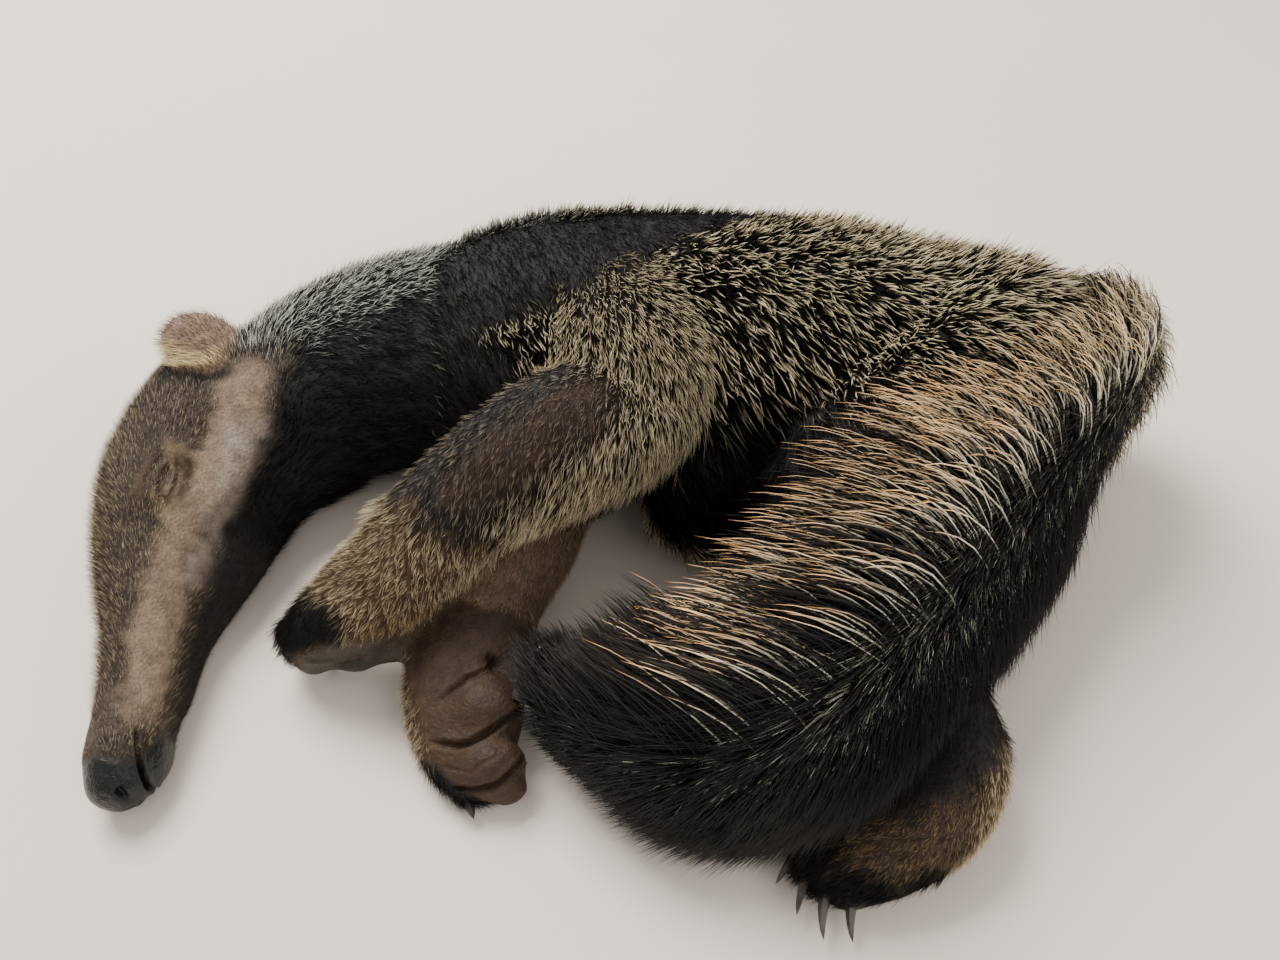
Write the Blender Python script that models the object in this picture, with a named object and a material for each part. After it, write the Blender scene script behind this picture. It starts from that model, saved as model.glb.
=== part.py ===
"""A newborn giant anteater, life size, lying curled on its right side with its tail drawn forward.

Tables are in millimetres in a layout frame: +X runs from the nose side to the rump, +Y from the
paws to the back, +Z up from the floor. LAYOUT_CENTRE moves the layout so that the origin is the
middle of the model's footprint, at floor level.
"""

import math
import random

import bmesh
import bpy
from mathutils import Matrix, Vector
from mathutils.bvhtree import BVHTree

MM = 0.001
CAP_ANGLES = (math.radians(35), math.radians(65))
GAP = 0.0004
LAYOUT_CENTRE = Vector((1.45, 190.4, 0.0)) * MM
RANDOM_SEED = 7

# A station of a body part: x, y, z of its centre, then its half width across and its half height.
HEAD = [
    (-129.0, 257.0, 27.0, 11.0, 13.0),
    (-131.5, 243.0, 26.5, 21.0, 21.0),
    (-133.4, 225.0, 23.5, 24.0, 24.0),
    (-135.6, 205.0, 21.5, 23.8, 23.0),
    (-136.0, 184.0, 17.8, 19.2, 19.3),
    (-133.3, 160.0, 13.8, 13.4, 15.0),
    (-131.8, 142.0, 10.8, 11.5, 12.0),
    (-131.2, 125.0, 9.6, 10.8, 10.5),
    (-130.8, 119.0, 8.8, 8.8, 9.0),
]
THROAT = [
    (-98.0, 231.0, 20.0, 19.5, 20.5),
    (-115.0, 216.0, 17.0, 18.0, 18.0),
    (-120.5, 195.0, 14.0, 14.5, 15.0),
    (-124.5, 178.0, 11.4, 11.5, 12.0),
    (-128.0, 161.0, 9.6, 9.0, 10.0),
    (-127.5, 142.0, 8.2, 7.6, 8.8),
]
NECK = [
    (-46.0, 253.5, 34.5, 39.5, 34.0),
    (-75.0, 252.0, 32.0, 37.0, 32.0),
    (-98.0, 244.0, 28.5, 34.0, 29.0),
    (-114.0, 233.0, 25.5, 29.0, 25.0),
    (-121.0, 220.0, 22.5, 22.0, 21.0),
]
TORSO = [
    (-58.0, 251.0, 33.5, 38.0, 33.0),
    (-32.0, 251.5, 37.0, 47.5, 38.5),
    (0.0, 248.5, 39.5, 47.0, 41.0),
    (35.0, 246.0, 40.0, 46.0, 41.5),
    (70.0, 240.0, 38.5, 44.0, 40.0),
    (100.0, 236.0, 36.5, 40.0, 38.0),
    (122.0, 236.0, 34.0, 33.0, 33.0),
    (134.0, 240.0, 33.0, 22.0, 24.0),
]
UPPER_ARM_LEFT = [
    (-12.0, 250.0, 58.0, 24.0, 22.0),
    (-5.0, 233.0, 62.0, 25.0, 21.0),
    (1.0, 218.0, 60.0, 23.0, 20.0),
    (3.0, 208.0, 54.0, 17.0, 17.0),
]
FOREARM_LEFT = [
    (5.0, 207.0, 54.0, 15.0, 16.0),
    (-9.0, 201.0, 55.0, 20.0, 19.0),
    (-28.0, 192.5, 52.0, 20.0, 18.5),
    (-46.0, 182.0, 46.0, 17.0, 15.5),
    (-62.0, 170.0, 37.0, 16.0, 14.0),
]
FOREPAW_LEFT = [
    (-58.0, 171.5, 38.0, 15.0, 13.0),
    (-72.0, 163.5, 29.0, 15.0, 13.0),
    (-83.0, 160.0, 20.5, 12.5, 11.5),
    (-91.0, 158.0, 14.5, 9.5, 9.0),
]
UPPER_ARM_RIGHT = [
    (-34.0, 232.0, 18.0, 15.0, 18.0),
    (-24.0, 225.0, 18.0, 17.0, 18.5),
    (-15.0, 217.0, 17.5, 15.0, 17.5),
]
FOREARM_RIGHT = [
    (-19.0, 214.0, 17.5, 13.0, 16.0),
    (-28.0, 206.0, 18.0, 15.5, 17.5),
    (-33.0, 189.0, 18.0, 15.5, 17.5),
    (-40.0, 172.0, 16.0, 14.0, 15.5),
]
FOREPAW_RIGHT = [
    (-39.0, 172.0, 15.5, 13.0, 14.5),
    (-45.0, 157.0, 13.0, 17.5, 13.0),
    (-46.5, 143.0, 10.5, 17.5, 11.0),
    (-44.5, 130.0, 8.0, 14.5, 8.5),
    (-40.5, 119.5, 5.5, 8.5, 6.0),
]
THIGH_LEFT = [
    (108.0, 240.0, 50.0, 28.0, 28.0),
    (90.0, 222.0, 50.0, 30.0, 29.0),
    (69.0, 205.0, 46.0, 27.0, 26.0),
    (51.0, 189.0, 40.0, 20.0, 21.0),
]
SHIN_LEFT = [
    (49.0, 187.0, 38.0, 17.0, 18.0),
    (60.0, 170.0, 33.0, 15.5, 17.0),
    (72.0, 150.0, 26.0, 13.5, 14.5),
    (79.0, 131.0, 18.5, 12.0, 13.5),
]
HIND_FOOT_LEFT = [
    (80.0, 128.0, 17.0, 12.5, 14.0),
    (77.0, 117.0, 14.5, 13.5, 14.5),
    (68.0, 108.0, 12.0, 14.0, 13.0),
    (57.0, 101.5, 9.5, 12.5, 10.5),
    (47.0, 98.0, 7.5, 10.5, 8.0),
]
THIGH_RIGHT = [
    (96.0, 232.0, 21.0, 24.0, 22.0),
    (70.0, 215.0, 19.5, 24.0, 20.5),
    (48.0, 202.0, 17.5, 22.0, 18.5),
    (39.0, 190.0, 16.5, 19.0, 17.5),
]
SHIN_RIGHT = [
    (38.0, 187.0, 15.5, 16.0, 16.5),
    (42.0, 172.0, 13.0, 15.0, 14.0),
    (47.0, 158.0, 11.0, 12.5, 12.0),
    (49.0, 148.0, 10.0, 11.5, 11.0),
]
HIND_FOOT_RIGHT = [
    (50.0, 148.0, 10.0, 11.5, 11.0),
    (45.0, 139.0, 9.5, 13.0, 10.5),
    (35.0, 133.0, 8.0, 12.5, 9.0),
    (26.0, 130.0, 6.0, 9.5, 7.0),
]
# A station of the tail: the hair's reach at its raised edge and at its low edge, then its half thickness.
TAIL = [
    ((104.0, 226.0, 62.0), (118.0, 266.0, 30.0), 21.0),
    ((122.0, 233.0, 67.0), (149.0, 264.0, 27.0), 20.0),
    ((117.0, 224.0, 75.0), (160.0, 247.0, 20.0), 19.0),
    ((95.0, 211.0, 77.0), (153.0, 225.0, 14.0), 19.0),
    ((64.6, 192.0, 77.0), (144.0, 202.0, 9.0), 18.5),
    ((43.6, 174.5, 73.0), (127.0, 174.0, 8.0), 18.0),
    ((29.2, 154.5, 67.0), (102.0, 145.0, 14.0), 17.5),
    ((13.7, 141.0, 61.0), (68.0, 107.0, 20.0), 17.0),
    ((0.0, 143.0, 55.0), (42.0, 97.0, 4.0), 16.0),
    ((-14.0, 147.0, 49.0), (13.0, 101.0, 4.0), 14.0),
    ((-26.0, 149.0, 41.0), (-14.0, 121.0, 6.0), 13.0),
]
TAIL_CORE_SHARE = 0.5
TAIL_CORE_LEAST_THICKNESS = 0.45
TAIL_CORE_VOXEL = 2.5
TAIL_CUT_STATIONS = (3.6, 7.4)

# A toe pad or lobe: centre and radii.
FOREPAW_RIGHT_PADS = [
    ((-39.5, 137.0, 15.5), (10.5, 8.0, 8.0)),
    ((-37.5, 123.5, 10.5), (9.5, 7.0, 8.0)),
    ((-34.5, 119.0, 6.3), (6.8, 4.8, 5.6)),
    ((-31.5, 149.0, 12.5), (5.5, 9.5, 8.5)),
]
FOREPAW_LEFT_PADS = [
    ((-95.0, 159.5, 14.5), (5.5, 5.0, 7.5)),
    ((-89.5, 154.8, 11.0), (6.5, 5.0, 6.5)),
    ((-78.0, 155.5, 13.0), (8.0, 6.0, 7.0)),
    ((-69.0, 157.5, 13.5), (8.0, 5.5, 6.5)),
]
HIND_FOOT_LEFT_PADS = [
    ((49.0, 93.5, 6.0), (5.5, 6.0, 5.0)),
    ((43.0, 95.5, 7.5), (4.5, 5.5, 5.0)),
    ((39.5, 99.5, 8.0), (4.5, 5.0, 5.0)),
    ((39.5, 105.0, 8.0), (5.0, 4.5, 5.0)),
]
HIND_FOOT_RIGHT_PADS = [
    ((21.0, 124.5, 5.0), (4.5, 5.0, 4.5)),
    ((18.0, 130.0, 5.0), (5.0, 4.5, 4.5)),
    ((20.0, 136.5, 5.0), (5.0, 4.5, 4.5)),
]
# A limb's length in the order of making: its stations, pads, triangles, voxel, and what it is cut clear of.
LIMBS = {
    "upper_arm_left": (UPPER_ARM_LEFT, (), 240, 2.2, ("torso",)),
    "forearm_left": (FOREARM_LEFT, (), 300, 2.2, ("upper_arm_left", "torso")),
    "upper_arm_right": (UPPER_ARM_RIGHT, (), 200, 2.2, ("torso",)),
    "forearm_right": (FOREARM_RIGHT, (), 200, 2.2, ("upper_arm_right", "torso", "forearm_left")),
    "forepaw_left": (FOREPAW_LEFT, FOREPAW_LEFT_PADS, 380, 1.6, ("forearm_left",)),
    "forepaw_right": (
        FOREPAW_RIGHT, FOREPAW_RIGHT_PADS, 520, 1.3, ("forearm_right", "forepaw_left", "forearm_left"),
    ),
    "thigh_left": (THIGH_LEFT, (), 260, 2.2, ("torso",)),
    "shin_left": (SHIN_LEFT, (), 240, 2.2, ("thigh_left", "torso")),
    "hind_foot_left": (HIND_FOOT_LEFT, HIND_FOOT_LEFT_PADS, 400, 1.6, ("shin_left",)),
    "thigh_right": (THIGH_RIGHT, (), 160, 2.2, ("torso", "thigh_left", "shin_left")),
    "shin_right": (SHIN_RIGHT, (), 140, 2.2, ("thigh_right", "torso", "shin_left", "thigh_left")),
    "hind_foot_right": (
        HIND_FOOT_RIGHT, HIND_FOOT_RIGHT_PADS, 220, 1.6, ("shin_right", "shin_left", "hind_foot_left"),
    ),
}
# Rounds of smoothing of a limb with pads and of one without.
LIMB_SMOOTHING = (2, 3)
LIMB_RINGS = 14
CLAWED = {"fore_claw": "forepaw", "hind_claw": "hind_foot"}
TAIL_KEEPS_OFF = ("torso", "thigh_left", "shin_left", "hind_foot_left", "thigh_right", "shin_right")
TAIL_KEEPS_OFF += ("hind_foot_right", "forearm_right", "forepaw_right")

# A claw: its root, the way it leaves the toe and the way it turns, then its length and thickness.
FORE_CLAWS = {
    "left": [
        ((-95.5, 161.0, 7.6), (-0.5, 0.1, -0.9), (1.0, 0.2, -0.1), 12.0, 4.2),
        ((-87.5, 156.8, 6.6), (-0.1, 0.3, -0.9), (1.0, 0.3, 0.1), 10.0, 4.4),
    ],
    "right": [
        ((-43.5, 119.0, 4.6), (0.1, -1.0, -0.1), (0.6, -0.6, -0.2), 7.5, 4.0),
        ((-31.0, 136.5, 20.0), (0.0, 1.0, 0.3), (-0.5, 0.2, -0.9), 11.0, 4.2),
    ],
}
HIND_CLAWS = {
    "left": [
        ((50.0, 91.0, 6.2), (-0.3, -1.0, -0.1), (0.6, -0.3, -0.7), 9.5, 3.3),
        ((44.0, 92.5, 7.4), (-0.4, -1.0, 0.0), (0.6, -0.3, -0.7), 11.0, 3.5),
        ((39.6, 95.5, 8.0), (-0.5, -0.9, -0.1), (0.4, -0.2, -0.9), 9.0, 3.2),
        ((36.4, 99.8, 7.8), (-0.6, -0.7, -0.1), (0.0, 0.0, -1.0), 7.0, 2.8),
        ((35.8, 105.0, 7.4), (-0.9, -0.3, -0.1), (0.0, 0.0, -1.0), 5.5, 2.6),
    ],
    "right": [
        ((19.0, 122.0, 5.4), (-0.5, -1.0, -0.1), (0.0, 0.0, -1.0), 7.0, 2.8),
        ((15.5, 129.0, 5.6), (-1.0, -0.2, 0.0), (0.0, 0.0, -1.0), 8.0, 3.0),
        ((17.5, 137.5, 5.6), (-1.0, 0.3, 0.0), (0.0, 0.0, -1.0), 7.5, 3.0),
    ],
}
# The closed eye: its place in plan, and for the lids and the slit their radii and height over the head.
EYE = (-131.6, 192.0)
LID_OFFSET = 2.0
LID_RADII = (2.4, 5.6, 1.7)
LID_RISE = -0.5
SLIT_RADII = (0.55, 4.7, 1.9)
SLIT_RISE = 0.7
# The mouth is a thin upright cut over a line in plan, between two heights.
MOUTH_CORNER = (-126.2, 129.5)
MOUTH_FRONT = (-121.0, 110.0)
MOUTH_GAP = 0.9
MOUTH_HEIGHTS = (-1.0, 30.0)
NOSTRILS = [(-127.5, 114.2, 13.6), (-127.5, 114.2, 4.2)]
NOSTRIL_RADII = (1.5, 2.4, 1.5)

TAIL_RINGS = 41
TAIL_CORE_TRIANGLES = 500
TAIL_LOCK_STEP = 5
TAIL_LOCKS_ROUND = 8
TAIL_LOCK_WIDTH = 23.0
TAIL_LOCK_THICK = 4.4
# How far the locks along an edge lean along the tail, stand away from it and outgrow the others.
RIDGE_LEAN = (0.7, 0.85, 1.0)
LOW_EDGE_LEAN = (0.7, 0.45, 0.1)
# How far every lock leaves the core at its root, how much of that is left at its tip and how it sags.
TAIL_LOCK_STAND = 0.25
TAIL_LOCK_TIP_STAND = 0.45
TAIL_LOCK_SAG = 0.12
TAIL_LOCK_SHORTEST = 22.0
# Lengths as shares of the hair's reach: the whole, the least at a side and the gain at an edge.
TAIL_LOCK_REACH = 1.85
TAIL_LOCK_SIDE_LENGTH = 0.8
TAIL_LOCK_EDGE_GAIN = 0.35
TAIL_LOCK_VARIES = (0.9, 1.1)
TAIL_LOCK_SHIFT = 0.2
TAIL_LOCK_SINK = 3.0
TAIL_SLAB_HALF = 75.0
LOCK_TAPER = (0.7, 1.0, 0.95, 0.6)
LOCK_TURN = 1.3
LOCK_FLOOR_ROOM = 0.5
CLAW_RINGS = 5
CLAW_SIDES = 6
CLAW_TURN = 0.9
CLAW_FLATNESS = 0.8
CLAW_TAPER = 0.85
CLAW_TAPER_POWER = 1.6

BODY_TRIANGLES = 3000
BODY_VOXEL = 1.8
BODY_SMOOTHING = 4
# A swelling of the body: its centre and radii.
BODY_SWELLINGS = {
    "nose": ((-131.4, 118.6, 9.0), (8.4, 7.4, 8.4)),
    "jaw": ((-124.2, 126.5, 8.4), (4.6, 9.0, 7.2)),
    "brow": ((-138.0, 200.0, 35.0), (11.0, 18.0, 8.5)),
    "cheek": ((-121.0, 208.0, 31.0), (12.0, 22.0, 10.0)),
    "shoulder": ((-14.0, 250.0, 57.0), (26.0, 30.0, 20.0)),
    "haunch": ((98.0, 236.0, 49.0), (34.0, 32.0, 29.0)),
    "belly": ((22.0, 205.0, 24.0), (22.0, 18.0, 22.0)),
}
# A cut between two lengths of the body: its place, the way across it and half its size.
BODY_CUTS = [
    ((-107.0, 237.5, 28.0), (-0.82, -0.57, 0.0), 48.0),
    ((-62.0, 252.0, 34.0), (-1.0, -0.06, 0.0), 60.0),
]
# An ear: its centre, the way it points, the way its back faces, its radii and its wall.
EARS = [
    ("ear_left", (-130.5, 239.0, 49.5), (-0.90, 0.33, 0.25), (0.2, -0.45, 0.85), (13.4, 10.4, 5.0), 1.4),
    ("ear_right", (-143.0, 247.0, 3.0), (-0.5, 0.8, 0.0), (0.0, 0.0, -1.0), (12.0, 8.0, 3.0), 1.2),
]

MATERIALS = {
    "coat_head": ((0.22, 0.17, 0.12), 0.85),
    "coat_black": ((0.03, 0.026, 0.022), 0.7),
    "coat_grizzled": ((0.16, 0.13, 0.09), 0.85),
    "coat_tan": ((0.25, 0.17, 0.09), 0.85),
    "pad_skin": ((0.08, 0.055, 0.04), 0.6),
    "horn": ((0.05, 0.04, 0.033), 0.45),
}
KINDS = {
    "head": "coat_head",
    "ear": "coat_tan",
    "neck": "coat_black",
    "torso": "coat_grizzled",
    "upper_arm": "coat_grizzled",
    "forearm": "coat_tan",
    "forepaw": "pad_skin",
    "thigh": "coat_black",
    "shin": "coat_black",
    "hind_foot": "coat_tan",
    "tail": "coat_black",
    "fore_claw": "horn",
    "hind_claw": "horn",
}


def clear_scene():
    for obj in list(bpy.data.objects):
        bpy.data.objects.remove(obj)


def colour_by_name(obj):
    """Gives obj the material of its kind, shared by all objects of that kind."""
    kind = next((KINDS[start] for start in KINDS if obj.name.startswith(start)), "coat_black")
    made = bpy.data.materials.get(kind) or bpy.data.materials.new(kind)
    colour, roughness = MATERIALS[kind]
    made.use_nodes = True
    shader = made.node_tree.nodes["Principled BSDF"]
    shader.inputs["Base Color"].default_value = (*colour, 1.0)
    shader.inputs["Roughness"].default_value = roughness
    shader.inputs["Metallic"].default_value = 0.0
    obj.data.materials.clear()
    obj.data.materials.append(made)
    for polygon in obj.data.polygons:
        polygon.use_smooth = False


def mesh_object(name, bm):
    bmesh.ops.recalc_face_normals(bm, faces=bm.faces)
    mesh = bpy.data.meshes.new(name)
    bm.to_mesh(mesh)
    bm.free()
    obj = bpy.data.objects.new(name, mesh)
    bpy.context.scene.collection.objects.link(obj)
    return obj


def smooth_value(p0, p1, p2, p3, t):
    """A point on the smooth curve from p1 to p2 that also heads for p0 and p3."""
    return 0.5 * (
        2 * p1 + (p2 - p0) * t + (2 * p0 - 5 * p1 + 4 * p2 - p3) * t**2 + (3 * p1 - p0 - 3 * p2 + p3) * t**3
    )


def smooth_through(rows, count):
    """count rows spread evenly over the smooth curve through rows, each a list of vectors or numbers."""
    made = []
    last = len(rows) - 1
    for i in range(count):
        at = last * i / (count - 1)
        k = min(int(at), last - 1)
        picked = [rows[max(0, min(last, k + step))] for step in (-1, 0, 1, 2)]
        made.append([smooth_value(*(row[j] for row in picked), at - k) for j in range(len(rows[0]))])
    return made


def frames_of(stations, count):
    """Rings of a body part as centre, half width vector and half height vector, in metres."""
    rows = [[Vector(s[:3]) * MM, s[3] * MM, s[4] * MM] for s in stations]
    rows = smooth_through(rows, count)
    frames = []
    for i, (centre, across, high) in enumerate(rows):
        along = rows[min(i + 1, count - 1)][0] - rows[max(i - 1, 0)][0]
        side = along.cross(Vector((0, 0, 1))).normalized()
        up = side.cross(along).normalized()
        frames.append((centre, side * across, up * high))
    return frames


def tail_frames(count, share):
    """Rings of the tail, which reach that share of the way to the tips of its hair."""
    edges = [(Vector(raised) * MM / 2, Vector(low) * MM / 2, thick * MM) for raised, low, thick in TAIL]
    rows = smooth_through([[raised + low, raised - low, thick] for raised, low, thick in edges], count)
    least = TAIL_CORE_LEAST_THICKNESS
    frames = []
    for i, (centre, side, thick) in enumerate(rows):
        along = rows[min(i + 1, count - 1)][0] - rows[max(i - 1, 0)][0]
        up = side.cross(along).normalized()
        if up.z < 0:
            up.negate()
        frames.append((centre, side * share, up * thick * (least + (1 - least) * share)))
    return frames


def loft(name, frames, sides=16, cap=0.75):
    """A closed round body through the frames, with a domed cap on each end."""
    bm = bmesh.new()
    rings = []

    def add_ring(centre, side, up, size):
        rings.append(
            [
                bm.verts.new(centre + side * size * math.cos(a) + up * size * math.sin(a))
                for a in (2 * math.pi * k / sides for k in range(sides))
            ]
        )

    def cap_steps(frame, inner):
        centre, side, up = frame
        out = (centre - inner[0]).normalized() * min(side.length, up.length) * cap
        steps = [(centre + out * math.sin(q), side, up, math.cos(q)) for q in CAP_ANGLES]
        return steps, centre + out

    start, start_pole = cap_steps(frames[0], frames[1])
    end, end_pole = cap_steps(frames[-1], frames[-2])
    for step in reversed(start):
        add_ring(*step)
    for frame in frames:
        add_ring(*frame, 1.0)
    for step in end:
        add_ring(*step)
    for low, high in zip(rings, rings[1:]):
        for k in range(sides):
            bm.faces.new((low[k], low[(k + 1) % sides], high[(k + 1) % sides], high[k]))
    for ring, pole in ((rings[0], start_pole), (rings[-1], end_pole)):
        tip = bm.verts.new(pole)
        for k in range(sides):
            bm.faces.new((ring[k], ring[(k + 1) % sides], tip))
    return mesh_object(name, bm)


def ball(name, centre, radii, turn=None, fine=True):
    """An ellipsoid, its centre and radii in millimetres."""
    bm = bmesh.new()
    round_steps, high_steps = (16, 10) if fine else (12, 7)
    bmesh.ops.create_uvsphere(bm, u_segments=round_steps, v_segments=high_steps, radius=MM)
    shape = Matrix.Translation(Vector(centre) * MM) @ (turn or Matrix()) @ Matrix.Diagonal((*radii, 1.0))
    bmesh.ops.transform(bm, matrix=shape, verts=bm.verts)
    return mesh_object(name, bm)


def apply_modifiers(obj):
    graph = bpy.context.evaluated_depsgraph_get()
    mesh = bpy.data.meshes.new_from_object(obj.evaluated_get(graph))
    obj.modifiers.clear()
    old = obj.data
    obj.data = mesh
    bpy.data.meshes.remove(old)


def shells_of(bm):
    """The closed surfaces of bm as lists of triangles, the one with the most volume first."""
    bmesh.ops.triangulate(bm, faces=bm.faces)
    bm.verts.index_update()
    left = set(bm.faces)
    shells = []
    while left:
        todo = [left.pop()]
        shell = list(todo)
        while todo:
            face = todo.pop()
            for other in {other for edge in face.edges for other in edge.link_faces} & left:
                left.remove(other)
                todo.append(other)
                shell.append(other)
        shells.append(shell)

    def volume(shell):
        return abs(sum(f.verts[0].co.dot(f.verts[1].co.cross(f.verts[2].co)) for f in shell))

    return sorted(shells, key=volume, reverse=True)


def keep_largest(obj):
    """Keeps the largest closed surface of obj, so that scraps and sealed hollows go."""
    bm = bmesh.new()
    bm.from_mesh(obj.data)
    scraps = [face for shell in shells_of(bm)[1:] for face in shell]
    bmesh.ops.delete(bm, geom=scraps, context="FACES")
    bm.to_mesh(obj.data)
    bm.free()


def split_shells(obj):
    """Parts obj into one object for each closed surface, the largest first."""
    bm = bmesh.new()
    bm.from_mesh(obj.data)
    found = []
    for shell in shells_of(bm):
        piece = bmesh.new()
        copies = {}
        for face in shell:
            for v in face.verts:
                if v.index not in copies:
                    copies[v.index] = piece.verts.new(v.co)
            piece.faces.new([copies[v.index] for v in face.verts])
        found.append(mesh_object(obj.name, piece))
    bm.free()
    bpy.data.objects.remove(obj)
    return found


def combine(obj, others, operation, solver="MANIFOLD", largest=True):
    """Joins others to obj, or cuts them from it, in one Boolean, and removes them."""
    group = bpy.data.collections.new("tools")
    for other in others:
        bpy.context.scene.collection.objects.unlink(other)
        group.objects.link(other)
    bpy.context.scene.collection.children.link(group)
    boolean = obj.modifiers.new("combine", "BOOLEAN")
    boolean.operation = operation
    boolean.solver = solver
    boolean.operand_type = "COLLECTION"
    boolean.collection = group
    bpy.context.view_layer.update()
    apply_modifiers(obj)
    for other in others:
        bpy.data.objects.remove(other)
    bpy.data.collections.remove(group)
    if largest:
        keep_largest(obj)
    return obj


def rest_on_floor(obj):
    for vertex in obj.data.vertices:
        vertex.co.z = max(vertex.co.z, 0.0)
    return obj


def flesh(name, pieces, voxel, triangles, rounds=6):
    """One smooth closed body made from overlapping pieces, simplified to about that many triangles."""
    obj = pieces[0]
    obj.name = name
    if len(pieces) > 1:
        combine(obj, pieces[1:], "UNION")
    remesh = obj.modifiers.new("remesh", "REMESH")
    remesh.mode = "VOXEL"
    remesh.voxel_size = voxel * MM
    ease = obj.modifiers.new("ease", "SMOOTH")
    ease.factor = 0.5
    ease.iterations = rounds
    apply_modifiers(obj)
    faces = sum(len(p.vertices) - 2 for p in obj.data.polygons)
    thin = obj.modifiers.new("thin", "DECIMATE")
    thin.ratio = min(1.0, triangles / faces)
    apply_modifiers(obj)
    keep_largest(obj)
    return rest_on_floor(obj)


def grown(obj, by):
    """A copy of obj with its skin moved out."""
    copy = bpy.data.objects.new(obj.name + "_grown", obj.data.copy())
    bpy.context.scene.collection.objects.link(copy)
    bm = bmesh.new()
    bm.from_mesh(copy.data)
    bm.normal_update()
    moves = [v.normal * by for v in bm.verts]
    for v, move in zip(bm.verts, moves):
        v.co += move
    bm.to_mesh(copy.data)
    bm.free()
    return copy


def clear_of(obj, *others):
    """Cuts obj back from what it grows from or lies against, leaving the gap."""
    for other in others:
        combine(obj, [grown(other, GAP)], "DIFFERENCE")
    return obj


def lock(root, start, end, face, length, width, thick):
    """A flat tapered lock that leaves its root along start, bends to end and keeps above the floor."""
    bm = bmesh.new()
    loops = []
    point = root.copy()
    rings = len(LOCK_TAPER)
    for i, size in enumerate(LOCK_TAPER):
        along = start.lerp(end, min(1.0, LOCK_TURN * i / rings)).normalized()
        across = along.cross(face).normalized()
        lift = across.cross(along).normalized()
        half = across * width * size / 2
        deep = lift * thick * size / 2
        lowest = point.z - abs(half.z) - abs(deep.z)
        point.z += max(0.0, LOCK_FLOOR_ROOM * MM - lowest)
        corners = (half, deep, -half, -deep)
        loops.append([bm.verts.new(point + corner) for corner in corners])
        point = point + along * length / rings
    point.z = max(point.z, LOCK_FLOOR_ROOM * MM)
    tip = bm.verts.new(point)
    bm.faces.new(loops[0])
    for low, high in zip(loops, loops[1:]):
        for k in range(4):
            bm.faces.new((low[k], low[(k + 1) % 4], high[(k + 1) % 4], high[k]))
    for k in range(4):
        bm.faces.new((loops[-1][k], loops[-1][(k + 1) % 4], tip))
    return mesh_object("lock", bm)


def claw(name, root, heading, curl, length, thick):
    """A curved claw from root, first along heading and then turning towards curl."""
    bm = bmesh.new()
    loops = []
    point = Vector(root) * MM
    heading = Vector(heading).normalized()
    curl = Vector(curl).normalized()
    for i in range(CLAW_RINGS):
        t = i / CLAW_RINGS
        along = (heading + curl * CLAW_TURN * t).normalized()
        across = along.cross(curl).normalized()
        lift = across.cross(along).normalized()
        size = thick * MM / 2 * (1 - CLAW_TAPER * t**CLAW_TAPER_POWER)
        loops.append(
            [
                bm.verts.new(point + (across * CLAW_FLATNESS * math.cos(a) + lift * math.sin(a)) * size)
                for a in (2 * math.pi * k / CLAW_SIDES for k in range(CLAW_SIDES))
            ]
        )
        point = point + along * length * MM / CLAW_RINGS
    tip = bm.verts.new(point)
    bm.faces.new(loops[0])
    for low, high in zip(loops, loops[1:]):
        for k in range(CLAW_SIDES):
            bm.faces.new((low[k], low[(k + 1) % CLAW_SIDES], high[(k + 1) % CLAW_SIDES], high[k]))
    for k in range(CLAW_SIDES):
        bm.faces.new((loops[-1][k], loops[-1][(k + 1) % CLAW_SIDES], tip))
    return mesh_object(name, bm)


def height_at(obj, x, y):
    """The height of the top of obj over x, y, all in millimetres."""
    tree = BVHTree.FromPolygons([v.co for v in obj.data.vertices], [p.vertices for p in obj.data.polygons])
    hit = tree.ray_cast(Vector((x * MM, y * MM, 1.0)), Vector((0, 0, -1)))[0]
    return hit.z / MM


def box_between(name, start, end, width, low, high):
    """An upright blade over the line from start to end in plan, all in millimetres."""
    start, end = Vector(start) * MM, Vector(end) * MM
    along = end - start
    across = Vector((-along.y, along.x)).normalized() * width * MM / 2
    bm = bmesh.new()
    foot = [start + across, end + across, end - across, start - across]
    lower = [bm.verts.new((*c, low * MM)) for c in foot]
    upper = [bm.verts.new((*c, high * MM)) for c in foot]
    bm.faces.new(lower)
    bm.faces.new(upper)
    for k in range(4):
        bm.faces.new((lower[k], lower[(k + 1) % 4], upper[(k + 1) % 4], upper[k]))
    return mesh_object(name, bm)


def part_with_slabs(whole, names, middles, slabs):
    """Cuts whole with thin slabs and gives each length the name of the place it holds."""
    combine(whole, slabs, "DIFFERENCE", largest=False)
    shells = split_shells(whole)
    kept = shells[: len(names)]
    for scrap in shells[len(names) :]:
        bpy.data.objects.remove(scrap)
    for name, middle in zip(names, middles):
        nearest = min(kept, key=lambda obj: min((v.co - middle).length for v in obj.data.vertices))
        nearest.name = name
        kept.remove(nearest)
    return [bpy.data.objects[name] for name in names]


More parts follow.
